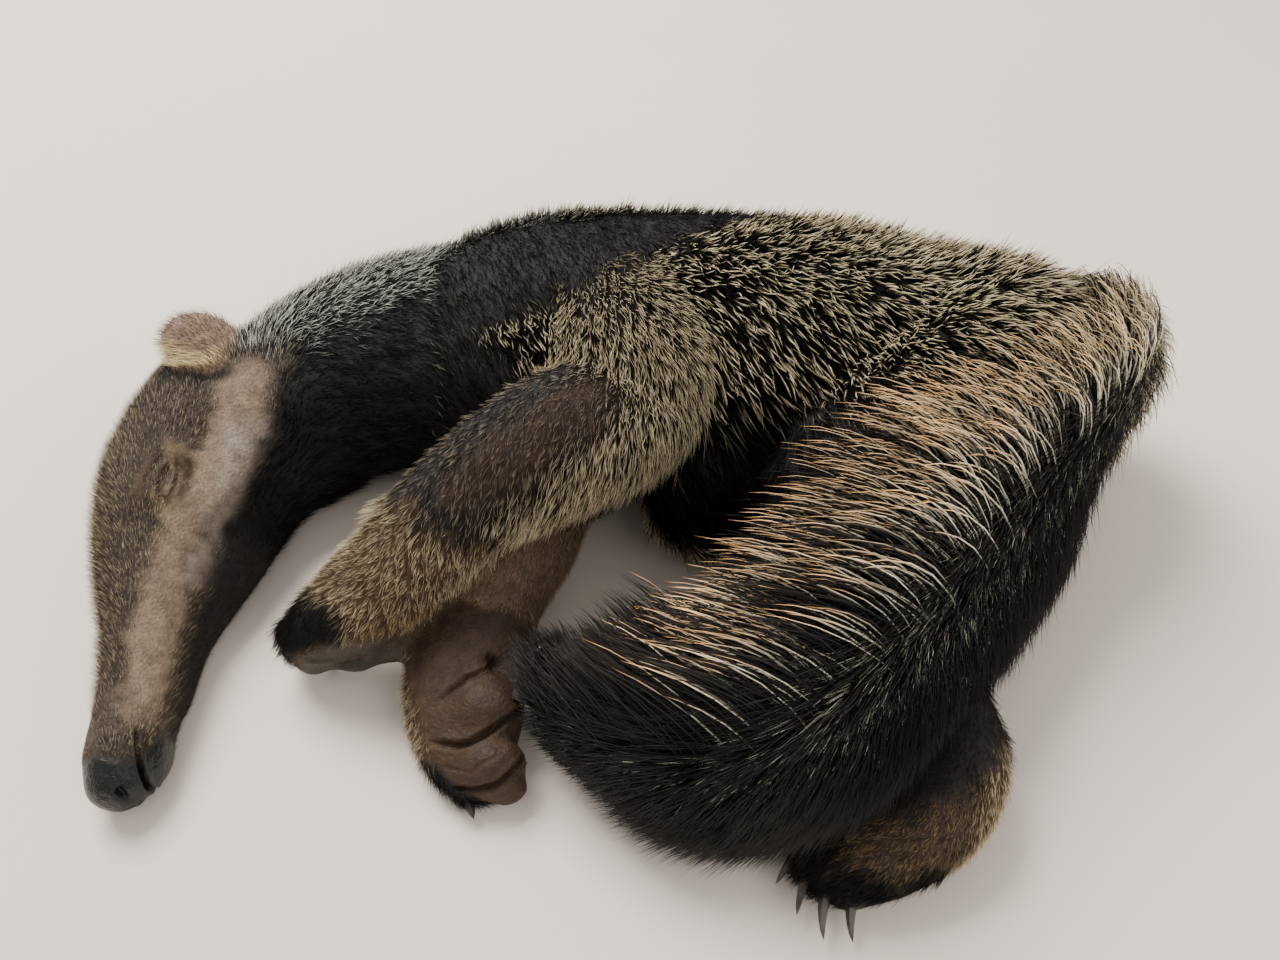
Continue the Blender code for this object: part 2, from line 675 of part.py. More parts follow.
def make_body():
    """Head, neck and torso, modelled as one and parted with thin cuts."""
    parts = [
        loft("body", frames_of(TORSO, 22), sides=20),
        loft("neck", frames_of(NECK, 14), sides=20),
        loft("head", frames_of(HEAD, 22), sides=20),
        loft("throat", frames_of(THROAT, 14), sides=16),
        *(ball(name, *sizes) for name, sizes in BODY_SWELLINGS.items()),
    ]
    body = flesh("body", parts, BODY_VOXEL, BODY_TRIANGLES, BODY_SMOOTHING)
    slabs = [slab(centre, (0.0, 0.0, 1.0), along, half) for centre, along, half in BODY_CUTS]
    places = [Vector(s[:3]) * MM for s in (HEAD[4], NECK[1], TORSO[3])]
    return part_with_slabs(body, ("head", "neck", "torso"), places, slabs)


def carve_face(head):
    """Adds the closed lids and cuts the slit between them, the mouth and the nostrils."""
    top = height_at(head, *EYE)
    lids = [
        ball("lid", (EYE[0] + offset, EYE[1], top + LID_RISE), LID_RADII, fine=False)
        for offset in (-LID_OFFSET, LID_OFFSET)
    ]
    combine(head, lids, "UNION")
    cuts = [
        ball("slit", (*EYE, top + SLIT_RISE), SLIT_RADII, fine=False),
        box_between("mouth", MOUTH_CORNER, MOUTH_FRONT, MOUTH_GAP, *MOUTH_HEIGHTS),
        *(ball("nostril", place, NOSTRIL_RADII, fine=False) for place in NOSTRILS),
    ]
    return combine(head, cuts, "DIFFERENCE")


def make_ear(name, against, centre, long_axis, outward, radii, wall):
    """A rounded ear flap, hollowed on the side away from outward, set against what it grows from."""
    z = Vector(outward).normalized()
    x = (Vector(long_axis) - z * Vector(long_axis).dot(z)).normalized()
    turn = Matrix((x, z.cross(x), z)).transposed().to_4x4()
    ear = ball(name, centre, radii, turn, fine=False)
    inner_centre = Vector(centre) - z * wall
    inner_radii = (radii[0] - wall, radii[1] - wall, radii[2] - wall * 0.7)
    inner = ball("inner", inner_centre, inner_radii, turn, fine=False)
    combine(ear, [inner], "DIFFERENCE")
    return clear_of(rest_on_floor(ear), *against)


def limb(name, stations, pads, triangles, voxel):
    pieces = [loft(name, frames_of(stations, LIMB_RINGS)), *(ball("pad", *pad) for pad in pads)]
    padded, plain = LIMB_SMOOTHING
    return flesh(name, pieces, voxel, triangles, padded if pads else plain)


def tail_core_point(frame, angle):
    """A point on the tail's core and the way out from it."""
    centre, side, up = frame
    point = centre + side * math.cos(angle) + up * math.sin(angle)
    out = side * math.cos(angle) / side.length_squared + up * math.sin(angle) / up.length_squared
    return point, out.normalized()


def tail_locks(frames):
    """The tail's hair, rooted in its core and lying towards its tip, longest along both edges."""
    random.seed(RANDOM_SEED)
    locks = []
    rows = range(2, len(frames) - 1, TAIL_LOCK_STEP)
    for row in rows:
        _, side, up = frames[row]
        along = (frames[row + 1][0] - frames[row - 1][0]).normalized()
        for k in range(TAIL_LOCKS_ROUND):
            shift = random.uniform(-TAIL_LOCK_SHIFT, TAIL_LOCK_SHIFT) + (row % 2) / 2
            angle = 2 * math.pi * (k + shift) / TAIL_LOCKS_ROUND
            point, out = tail_core_point(frames[row], angle)
            edge = abs(math.cos(angle))
            lean, stand, share = RIDGE_LEAN if math.cos(angle) > 0 else LOW_EDGE_LEAN
            face = up.normalized() * math.copysign(edge, math.sin(angle)) + out * (1.0 - edge)
            start = along * lean + out * (TAIL_LOCK_STAND + stand * edge)
            end = along + out * TAIL_LOCK_TIP_STAND * stand * edge - Vector((0, 0, TAIL_LOCK_SAG))
            reach = side.length * (1 / TAIL_CORE_SHARE - 1)
            length = max(TAIL_LOCK_SHORTEST * MM, reach * TAIL_LOCK_REACH)
            length *= TAIL_LOCK_SIDE_LENGTH + TAIL_LOCK_EDGE_GAIN * edge * share
            length *= random.uniform(*TAIL_LOCK_VARIES)
            root = point - out * TAIL_LOCK_SINK * MM
            locks.append(lock(root, start, end, face, length, TAIL_LOCK_WIDTH * MM, TAIL_LOCK_THICK * MM))
    return locks


def slab(centre, up, along, half):
    """A thin slab across along, as thick as the gap between two lengths, its centre in millimetres."""
    z = Vector(along).normalized()
    x = (Vector(up) - z * z.dot(Vector(up))).normalized()
    size = Matrix.Diagonal((half * MM, half * MM, GAP / 2, 1.0))
    shape = Matrix((x, z.cross(x), z)).transposed().to_4x4() @ size
    bm = bmesh.new()
    bmesh.ops.create_cube(bm, size=2.0)
    bmesh.ops.transform(bm, matrix=Matrix.Translation(Vector(centre) * MM) @ shape, verts=bm.verts)
    return mesh_object("slab", bm)


def make_tail(around):
    """The tail in three lengths, each with its core and hair in one closed body."""
    last = TAIL_RINGS - 1
    frames = tail_frames(TAIL_RINGS, TAIL_CORE_SHARE)
    tail = flesh("tail", [loft("tail", frames)], TAIL_CORE_VOXEL, TAIL_CORE_TRIANGLES)
    combine(tail, tail_locks(frames), "UNION")
    clear_of(tail, *around)
    cuts = [round(station * last / (len(TAIL) - 1)) for station in TAIL_CUT_STATIONS]
    ways = {i: frames[i + 1][0] - frames[i - 1][0] for i in cuts}
    slabs = [slab(frames[i][0] / MM, frames[i][1], ways[i], TAIL_SLAB_HALF) for i in cuts]
    middles = [frames[i][0] for i in (cuts[0] // 2, sum(cuts) // 2, (cuts[1] + last) // 2)]
    part_with_slabs(tail, ("tail_base", "tail_middle", "tail_end"), middles, slabs)


def make_claws(prefix, toes_of, claws):
    """Curved claws whose roots sit in sockets of the toes, one object each."""
    made = [rest_on_floor(claw(f"{prefix}_{i + 1}", *values)) for i, values in enumerate(claws)]
    combine(toes_of, [grown(one, GAP) for one in made], "DIFFERENCE")
    return made


def main():
    clear_scene()
    parts = {obj.name: obj for obj in make_body()}
    for name, *values in EARS:
        make_ear(name, (parts["head"], parts["neck"]), *values)
    carve_face(parts["head"])
    for name, (*sizes, against) in LIMBS.items():
        parts[name] = clear_of(limb(name, *sizes), *(parts[other] for other in against))
    claws = []
    for kind, paws in (("fore_claw", FORE_CLAWS), ("hind_claw", HIND_CLAWS)):
        for side, values in paws.items():
            claws += make_claws(f"{kind}_{side}", parts[f"{CLAWED[kind]}_{side}"], values)
    make_tail([*(parts[name] for name in TAIL_KEEPS_OFF), *claws])
    for obj in bpy.data.objects:
        obj.data.transform(Matrix.Translation(-LAYOUT_CENTRE))
        colour_by_name(obj)


if __name__ == "__main__":
    main()
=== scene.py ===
"""Dresses the still model of a curled young giant anteater.

One skin takes the place of the flesh, fur lies over it in tufts, and the claws keep their solids.
Places are in millimetres in the layout frame of the solids, whose centre is LAYOUT_CENTRE.
"""

import math
from collections import namedtuple

import bmesh
import bpy
import numpy as np
from mathutils import Matrix, Vector
from mathutils.bvhtree import BVHTree


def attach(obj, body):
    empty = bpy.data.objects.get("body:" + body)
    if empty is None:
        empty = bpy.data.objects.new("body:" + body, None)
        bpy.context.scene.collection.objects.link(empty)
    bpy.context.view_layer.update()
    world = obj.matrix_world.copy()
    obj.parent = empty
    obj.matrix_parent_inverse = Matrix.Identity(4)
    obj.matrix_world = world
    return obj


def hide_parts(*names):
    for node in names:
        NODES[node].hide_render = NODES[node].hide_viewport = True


bl_info = {
    "name": "Giant Anteater Pup",
    "version": (1, 0, 0),
    "blender": (4, 5, 0),
    "location": "View3D > Sidebar > Anteater",
    "description": "Skin, fur, claws and stage of a sleeping giant anteater pup",
    "category": "Object",
}

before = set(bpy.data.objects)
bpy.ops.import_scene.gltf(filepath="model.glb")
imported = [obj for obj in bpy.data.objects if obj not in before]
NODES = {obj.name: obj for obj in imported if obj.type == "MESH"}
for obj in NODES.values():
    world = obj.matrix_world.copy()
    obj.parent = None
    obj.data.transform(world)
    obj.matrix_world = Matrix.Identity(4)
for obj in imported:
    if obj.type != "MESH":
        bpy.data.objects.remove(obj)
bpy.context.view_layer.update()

MM = 0.001
LAYOUT_CENTRE = np.array((1.45, 190.4, 0.0))
BODY = "root"
# Room that skin and fur keep over the floor, and depth of a tuft's root in the skin, in metres.
FLOOR_ROOM = 0.0002
ROOT_DEPTH = 0.0002
# Gap under which loose corners of a copied solid are merged, in metres.
MERGE_GAP = 0.00001
# Most triangles in one piece of fur.
TUFT_LIMIT = 185000
# A tuft's thickness as a share of its width, and the size of its patch on the skin's map.
TUFT_FLATNESS = 0.6
PATCH_WIDTH = 0.0008
PATCH_LENGTH = 0.003
# The way that hanging fur leans: to the near side and down.
HANG = np.array((0.0, -0.8, -0.6))

FLESH = [n for n in NODES if "claw" not in n and not n.startswith("tail")]
TAIL_NODES = [n for n in NODES if n.startswith("tail")]
CLAWS = [n for n in NODES if "claw" in n]

# The line that runs down each part, and how much its fur leans along it, to the belly and as it hangs.
FLOWS = {
    "head": ([(-128, 110, 8), (-132, 150, 13), (-135, 195, 20), (-131, 250, 27)], 0.9, 0.1, 0.0),
    "neck": ([(-128, 236, 26), (-98, 246, 29), (-46, 253, 34)], 0.9, 0.35, 0.0),
    "torso": ([(-58, 251, 34), (0, 248, 40), (70, 240, 38), (134, 240, 33)], 0.55, 0.75, 0.25),
    "upper_arm_left": ([(-12, 250, 58), (1, 218, 60), (6, 205, 54)], 0.9, 0.0, 0.3),
    "forearm_left": ([(5, 207, 54), (-28, 192, 52), (-62, 170, 37)], 0.35, 0.0, 0.85),
    "forepaw_left": ([(-58, 171, 38), (-83, 160, 20), (-94, 158, 13)], 0.8, 0.0, 0.5),
    "upper_arm_right": ([(-34, 232, 18), (-15, 217, 17)], 0.8, 0.0, 0.2),
    "forearm_right": ([(-19, 214, 17), (-33, 189, 18), (-40, 172, 16)], 0.9, 0.0, 0.2),
    "forepaw_right": ([(-39, 172, 15), (-46, 143, 10), (-40, 119, 5)], 0.9, 0.0, 0.1),
    "thigh_left": ([(60, 244, 48), (112, 238, 48)], 0.5, 0.35, 0.7),
    "shin_left": ([(49, 187, 38), (72, 150, 26), (79, 131, 18)], 0.9, 0.0, 0.2),
    "hind_foot_left": ([(80, 128, 17), (68, 108, 12), (46, 96, 7)], 0.9, 0.0, 0.1),
    "thigh_right": ([(96, 232, 21), (48, 202, 17), (39, 190, 16)], 0.9, 0.0, 0.2),
    "shin_right": ([(38, 187, 15), (47, 158, 11), (49, 148, 10)], 0.9, 0.0, 0.1),
    "hind_foot_right": ([(50, 148, 10), (35, 133, 8), (24, 129, 6)], 0.9, 0.0, 0.1),
    "ear_left": ([(-120, 234, 48), (-142, 244, 52)], 0.9, 0.0, 0.3),
    "ear_right": ([(-136, 240, 3), (-150, 252, 3)], 0.9, 0.0, 0.0),
    "tail": ([(120, 240, 45), (60, 180, 40), (0, 122, 30)], 1.0, 0.0, 0.0),
}
PARTS = list(FLOWS)

# The tail: its hair's reach at the raised edge and at the low edge, then its half thickness.
TAIL = [
    ((104, 226, 62), (118, 266, 30), 21),
    ((122, 233, 67), (149, 264, 27), 20),
    ((117, 224, 75), (160, 247, 20), 19),
    ((95, 211, 77), (153, 225, 14), 19),
    ((64.6, 192, 77), (144, 202, 9), 18.5),
    ((43.6, 174.5, 73), (127, 174, 8), 18),
    ((29.2, 154.5, 67), (102, 145, 14), 17.5),
    ((13.7, 141, 61), (68, 107, 20), 17),
    ((0, 143, 55), (42, 97, 4), 16),
    ((-14, 147, 49), (13, 101, 4), 14),
    ((-26, 149, 41), (-14, 121, 6), 13),
]
# The tail's core as a share of its hair's reach: at the raised edge, at the low edge, and how much less
# at the low edge by the rump.
CORE_SHARE = 0.5
LOW_CORE_SHARE = 0.6
CORNER_CUT = 0.22
# Rings and sides of the core, the rounding at its end in metres, and stations for placing the hair.
CORE_RINGS = 21
CORE_SIDES = 24
CORE_END = 0.006
HAIR_STATIONS = 61
# Width of the tail's hairs in metres, then the size of their clumps and how far those draw together.
HAIR_WIDTH = {"side": 0.0004, "low": 0.00042, "corner": 0.00045, "ridge": 0.0006}
HAIR_CLUMP = {"side": (0.004, 0.35), "corner": (0.004, 0.5), "ridge": (0.0065, 0.6)}
# Length of the hairs by the rump, and the least length at the low edge, in metres.
CORNER_LENGTH = 0.014
LOW_LENGTH = 0.006
# The colours of the tail's hair, and what is known of a place on the tail.
TAIL_COLOURS = ("fur_black", "fur_sooty", "tail_silver", "tail_amber", "tip_cream")
TailPlace = namedtuple("TailPlace", "station across face side along reach")

# A tuft's rings from root to tip, each a share of its height and of its width.
TUFTS = {
    "plain_tuft": [],
    "body_tuft": [(0.55, 0.85)],
    "limb_tuft": [(0.55, 0.8)],
    "side_tuft": [(0.45, 0.9)],
    "curl_tuft": [(0.3, 1.0), (0.7, 0.75)],
    "long_tuft": [(0.2, 1.0), (0.42, 1.0), (0.64, 0.8), (0.84, 0.5)],
}
# How much more or less dark and pale short fur stands, and how far its clumps draw together.
LIFT = {"dark": 0.9, "pale": 1.15}
CLUMP_PULL = 0.55

# A kind of coat: the colours and sizes named in TINTS and SIZES. share is that of the pale tufts, and
# density is tufts per square millimetre. length, width and the skin's depth under the solid are in
# millimetres. stand is how far the tufts stand up, and bend the share of that lost at their tips.
TINTS = ("hide", "under", "tip")
SIZES = ("share", "density", "length", "width", "stand", "bend", "depth")
COATS = {
    "muzzle": ("muzzle_brown", "fur_brown", "tip_fawn", 0.2, 3.0, 1.4, 0.1, 0.3, 0.3, 0.4),
    "snout_brown": ("hide_brown", "fur_brown", "tip_grey", 0.3, 4.8, 2.5, 0.1, 0.85, 0.3, 0.5),
    "snout_ridge": ("hide_umber", "fur_umber", "tip_grey", 0.3, 4.4, 3.8, 0.12, 1.9, 0.1, 0.5),
    "cheek": ("hide_taupe", "fur_taupe", "tip_fawn", 0.35, 3.6, 2.2, 0.12, 0.2, 0.2, 0.5),
    "cheek_grey": ("hide_stone", "fur_taupe", "tip_fawn", 0.3, 2.6, 1.8, 0.11, 0.2, 0.2, 0.5),
    "temple": ("hide_umber", "fur_sooty", "tip_grey", 0.16, 4.2, 3.0, 0.15, 0.45, 0.3, 0.6),
    # Stained hide round the eye; also laid as painted shade along the eye's slit.
    "eye_stain_and_slit_shade": ("eye_dark", "fur_umber", "tip_ochre", 0.4, 1.6, 1.3, 0.12, 0.35, 0.3, 0.4),
    "eye_ochre": ("hide_ochre", "fur_ochre", "tip_ochre", 0.4, 1.6, 1.4, 0.12, 0.3, 0.3, 0.4),
    "tear": ("hide_ochre", "fur_taupe", "tip_butter", 0.6, 2.2, 1.6, 0.12, 0.3, 0.3, 0.4),
    "ear_shadow": ("hide_black", "fur_black", "fur_sooty", 0.2, 4.2, 3.4, 0.16, 0.3, 0.3, 0.7),
    "nose": ("slate", "slate", "slate", 0.0, 0.0, 1.0, 0.1, 0.2, 0.2, 0.4),
    "chin": ("hide_black", "fur_umber", "fur_brown", 0.2, 3.4, 2.6, 0.16, 0.4, 0.3, 0.6),
    "throat": ("hide_black", "fur_black", "fur_sooty", 0.1, 1.8, 6.0, 0.28, 0.25, 0.4, 1.6),
    "crest": ("hide_black", "fur_black", "tip_silver", 0.42, 2.0, 6.5, 0.3, 0.45, 0.3, 1.4),
    "crest_back": ("hide_black", "fur_black", "tip_silver", 0.2, 2.0, 6.5, 0.26, 0.45, 0.3, 1.4),
    "back_line": ("hide_black", "fur_smoke", "tip_pale", 0.7, 1.6, 7.5, 0.32, 0.8, 0.3, 1.6),
    "flank": ("hide_black", "fur_black", "tip_cream", 0.44, 1.0, 9.5, 0.78, 0.8, 0.15, 2.0),
    "flank_low": ("hide_black", "fur_black", "tip_cream", 0.24, 1.0, 10.5, 0.7, 0.7, 0.2, 2.0),
    "rump": ("hide_umber", "fur_umber", "tip_tan", 0.6, 1.3, 9.5, 0.42, 0.6, 0.2, 1.8),
    "belly": ("hide_black", "fur_black", "fur_sooty", 0.1, 0.9, 15.0, 0.4, 0.3, 0.7, 2.0),
    "shoulder": ("hide_black", "fur_umber", "tip_cream", 0.7, 2.0, 7.5, 0.34, 0.65, 0.2, 1.8),
    "forearm_bare": ("hide_dusk", "fur_umber", "tip_fawn", 0.3, 3.6, 3.2, 0.14, 0.4, 0.3, 0.9),
    "wrist_black": ("hide_black", "fur_black", "tip_fawn", 0.24, 2.4, 3.4, 0.22, 0.35, 0.3, 0.9),
    "wrist_blond": ("wrist_brown", "wrist_brown", "tip_straw", 0.52, 3.6, 3.3, 0.15, 0.9, 0.15, 1.0),
    "wrist_ochre": ("hide_umber", "fur_ochre", "tip_ochre", 0.6, 3.2, 3.6, 0.2, 0.6, 0.25, 1.0),
    "tan_arm": ("hide_tan", "ear_hair", "tip_tan", 0.6, 2.6, 3.4, 0.16, 0.5, 0.3, 0.9),
    "toe_black": ("hide_black", "fur_black", "fur_sooty", 0.15, 3.2, 5.2, 0.24, 0.35, 0.35, 0.8),
    "leather": ("leather", "leather", "leather", 0.0, 0.0, 1.0, 0.1, 0.2, 0.2, 0.2),
    "paw_grey": ("sole_grey", "sole_grey", "sole_grey", 0.0, 0.0, 1.0, 0.1, 0.2, 0.2, 0.2),
    # Black fur of the legs; also laid as painted shadow in the furrow between the flank and the tail.
    "leg_black_and_furrow_shade": ("hide_black", "fur_black", "fur_sooty", 0.2, 1.5, 6.5, 0.32, 0.3, 0.4, 1.4),
    "instep": ("hide_umber", "fur_umber", "tip_ochre", 0.5, 5.0, 2.8, 0.12, 0.6, 0.2, 0.7),
    "heel": ("hide_umber", "fur_ochre", "tip_straw", 0.6, 3.0, 4.2, 0.2, 0.4, 0.35, 0.8),
    "ear_brown": ("ear_pink", "ear_hair", "tip_fawn", 0.55, 3.4, 3.8, 0.17, 0.9, 0.1, 0.1),
    "ear_cream": ("ear_pink", "tip_blond", "tip_butter", 0.85, 4.2, 5.0, 0.18, 0.7, 0.25, 0.1),
    "tail": ("hide_black", "fur_black", "fur_black", 0.0, 0.0, 12.0, 0.4, 0.3, 0.4, 0.0),
}
PART_COATS = {
    "head": "snout_brown",
    "ear": "ear_brown",
    "neck": "throat",
    "torso": "flank",
    "upper_arm_left": "shoulder",
    "forearm_left": "shoulder",
    "forepaw_left": "wrist_blond",
    "upper_arm_right": "throat",
    "forearm_right": "tan_arm",
    "forepaw_right": "leather",
    "thigh_left": "flank",
    "thigh_right": "leg_black_and_furrow_shade",
    "shin": "leg_black_and_furrow_shade",
    "hind_foot_left": "toe_black",
    "hind_foot_right": "toe_black",
    "tail": "tail",
}
# A marking: the coat that it paints, the parts it may touch, its edge's softness, and the points
# of its line, each x, y, z and radius.
MARKINGS = [
    ("snout_ridge", ("head",), 5.0, [
        (-160, 226, 30, 14), (-161, 195, 28, 15), (-153, 160, 20, 12), (-147, 135, 14, 9)
    ]),
    ("cheek", ("head",), 3.5, [
        (-116, 224, 46, 9), (-116, 214, 43, 8), (-120, 200, 40, 7), (-123, 187, 36, 7)
    ]),
    ("cheek", ("head",), 3.0, [
        (-123, 187, 36, 7), (-125, 170, 31, 6.5), (-126, 152, 25, 6), (-126.5, 136, 20, 5.5)
    ]),
    ("cheek_grey", ("head",), 4.0, [
        (-112, 212, 40, 6), (-114, 200, 35, 5), (-118, 186, 30, 4), (-121, 172, 25, 3.5)
    ]),
    ("cheek", ("head",), 3.0, [(-113, 222, 6, 12), (-122, 180, 3, 8), (-125, 136, 1, 5.5)]),
    ("muzzle", ("head",), 6.0, [(-146, 126, 6, 8), (-138, 130, 13, 8), (-132, 134, 15, 6)]),
    ("temple", ("head",), 3.0, [(-143, 221, 45, 6), (-134, 217, 47, 7), (-129, 208, 45, 5.5)]),
    ("tear", ("head",), 2.0, [
        (-131.5, 187.5, 39.5, 1.6), (-130.5, 182.0, 37.0, 1.9), (-129.5, 176.0, 34.5, 1.2)
    ]),
    ("eye_ochre", ("head",), 2.0, [
        (-132.5, 203.0, 44.0, 1.6), (-127.4, 200.0, 42.0, 2.8), (-125.5, 194.0, 40.5, 1.6)
    ]),
    ("eye_stain_and_slit_shade", ("head",), 1.4, [
        (-130.0, 200.5, 43.5, 1.4), (-126.8, 198.5, 41.8, 2.6), (-126.8, 193.5, 40.5, 1.7)
    ]),
    # Painted shade: a thin dark line along the slit of the closed eye.
    ("eye_stain_and_slit_shade", ("head",), 0.9, [
        (-131.8, 198.0, 42.4, 0.8), (-132.2, 192.0, 41.0, 0.7), (-131.2, 186.0, 39.0, 0.7)
    ]),
    ("eye_stain_and_slit_shade", ("head",), 1.5, [
        (-137.5, 199.0, 43.0, 1.5), (-137.8, 190.0, 41.0, 1.8), (-135.0, 182.0, 38.5, 0.8)
    ]),
    ("ear_shadow", ("head",), 2.0, [(-141, 231, 45, 3.2), (-132, 229.5, 47, 3.6), (-121, 229, 48, 2.2)]),
    ("chin", ("head",), 3.5, [
        (-101, 200, 14, 22), (-106, 180, 8, 19.5), (-110, 160, 5, 17), (-111.5, 142, 4, 13)
    ]),
    ("chin", ("head",), 2.0, [(-111.5, 142, 4, 13), (-112.5, 128, 2, 10)]),
    ("throat", ("head", "neck"), 3.5, [(-89, 226, 52, 14), (-93, 213, 43, 14), (-96, 200, 36, 14)]),
    ("throat", ("head", "neck"), 4.0, [(-80, 240, 32, 26), (-92, 215, 26, 19), (-99, 202, 16, 19)]),
    ("crest", ("head", "neck"), 5.0, [
        (-120, 256, 48, 21), (-106, 266, 50, 33), (-90, 280, 50, 43), (-70, 290, 48, 46)
    ]),
    ("crest", ("neck", "torso"), 5.0, [
        (-70, 290, 48, 46), (-46, 297, 48, 38), (-20, 302, 48, 27), (10, 302, 48, 19)
    ]),
    ("crest_back", ("neck", "torso"), 9.0, [(-92, 300, 16, 24), (-48, 314, 16, 30), (-8, 318, 16, 30)]),
    ("throat", ("torso",), 6.0, [(-62, 240, 40, 31), (-40, 215, 30, 34), (-28, 205, 25, 30)]),
    ("throat", ("torso", "upper_arm_left"), 6.5, [
        (-46, 250, 74, 22), (-22, 254, 82, 23), (0, 264, 80, 17)
    ]),
    ("throat", ("torso", "upper_arm_left"), 5.5, [
        (0, 264, 80, 17), (17, 270, 76, 13), (35, 275, 72, 9), (50, 279, 70, 4)
    ]),
    ("back_line", ("torso",), 3.0, [
        (-50, 291, 57, 15), (-20, 291, 62, 10), (10, 289, 65, 8), (45, 284, 66, 7)
    ]),
    ("belly", ("torso", "thigh_left"), 6.0, [(14, 192, 35, 20), (38, 190, 45, 24), (66, 186, 44, 22)]),
    ("belly", ("torso", "thigh_left"), 6.0, [(12, 180, 28, 14), (40, 182, 30, 16)]),
    ("flank_low", ("torso", "thigh_left"), 8.0, [
        (14, 233, 65, 12), (34, 224, 62, 14), (60, 226, 62, 11), (80, 230, 60, 9)
    ]),
    ("leg_black_and_furrow_shade", ("thigh_left",), 6.0, [(50, 180, 40, 22), (72, 196, 50, 19), (95, 208, 55, 16)]),
    ("rump", ("torso", "thigh_left"), 5.0, [(106, 259, 64, 6), (124, 256, 59, 8), (138, 252, 50, 7)]),
    # Painted shadow: black fur along the furrow between the flank and the tail, where shade falls.
    ("leg_black_and_furrow_shade", ("torso", "thigh_left"), 4.0, [(73, 222, 60, 6), (92, 229, 60, 6), (111, 237, 60, 5)]),
    ("forearm_bare", ("forearm_left",), 5.0, [(-16, 192, 71, 10), (-34, 180, 66, 12), (-48, 173, 60, 11)]),
    ("wrist_black", ("forearm_left",), 4.0, [(-24, 207, 72, 9), (-42, 194, 62, 9), (-58, 182, 52, 8)]),
    ("wrist_black", ("forearm_left",), 3.5, [
        (-34, 210, 56, 9), (-50, 197, 46, 9), (-62, 189, 40, 8), (-72, 187, 38, 8)
    ]),
    ("wrist_black", ("forearm_left",), 3.0, [(-60, 179, 52, 5), (-50, 168, 52, 4.5), (-37, 169, 46, 5.5)]),
    ("wrist_blond", ("forearm_left", "forepaw_left"), 4.0, [
        (-74, 169, 37, 7), (-64, 166, 46, 10), (-52, 158, 40, 10), (-40, 160, 40, 8)
    ]),
    ("wrist_ochre", ("forearm_left", "forepaw_left"), 3.0, [
        (-64, 150, 30, 6), (-50, 154, 28, 7), (-38, 162, 30, 5)
    ]),
    ("toe_black", ("forepaw_left",), 2.0, [
        (-102, 165, 12, 12), (-97, 158, 24, 11), (-87, 153, 31, 8), (-79, 152, 30, 5)
    ]),
    ("paw_grey", ("forepaw_left",), 2.4, [
        (-86, 148, 17, 6), (-78, 146, 21, 6.5), (-68, 148, 22, 6.5), (-62, 152, 20, 5)
    ]),
    ("paw_grey", ("forepaw_left",), 2.4, [(-88, 152, 6, 8), (-66, 154, 9, 9)]),
    ("tan_arm", ("forepaw_right",), 3.0, [(-40, 172, 30, 12), (-30, 170, 22, 10)]),
    ("wrist_blond", ("forepaw_right",), 2.5, [(-64, 152, 10, 9), (-62, 139, 10, 8), (-57, 127, 8, 6.5)]),
    ("toe_black", ("forepaw_right",), 2.0, [(-54, 121, 5, 6.5), (-47, 112, 3, 8), (-38, 109, 2, 6)]),
    ("instep", ("hind_foot_left",), 3.0, [(50, 100, 20, 6), (62, 98, 22, 9), (76, 103, 25, 10)]),
    ("heel", ("hind_foot_left", "shin_left"), 3.0, [(88, 116, 24, 8), (88, 108, 16, 9), (82, 100, 12, 7)]),
    ("chin", ("hind_foot_left", "shin_left"), 4.0, [(56, 112, 26, 8), (70, 116, 29, 9), (80, 124, 30, 9)]),
    ("paw_grey", ("hind_foot_left",), 1.8, [(52, 88, 2, 6), (62, 87, 2, 7.5), (78, 95, 1, 7.5)]),
    ("ear_cream", ("ear_left",), 2.2, [(-143, 232, 50, 6), (-133, 228, 49, 7.5), (-120, 227, 50, 7)]),
]

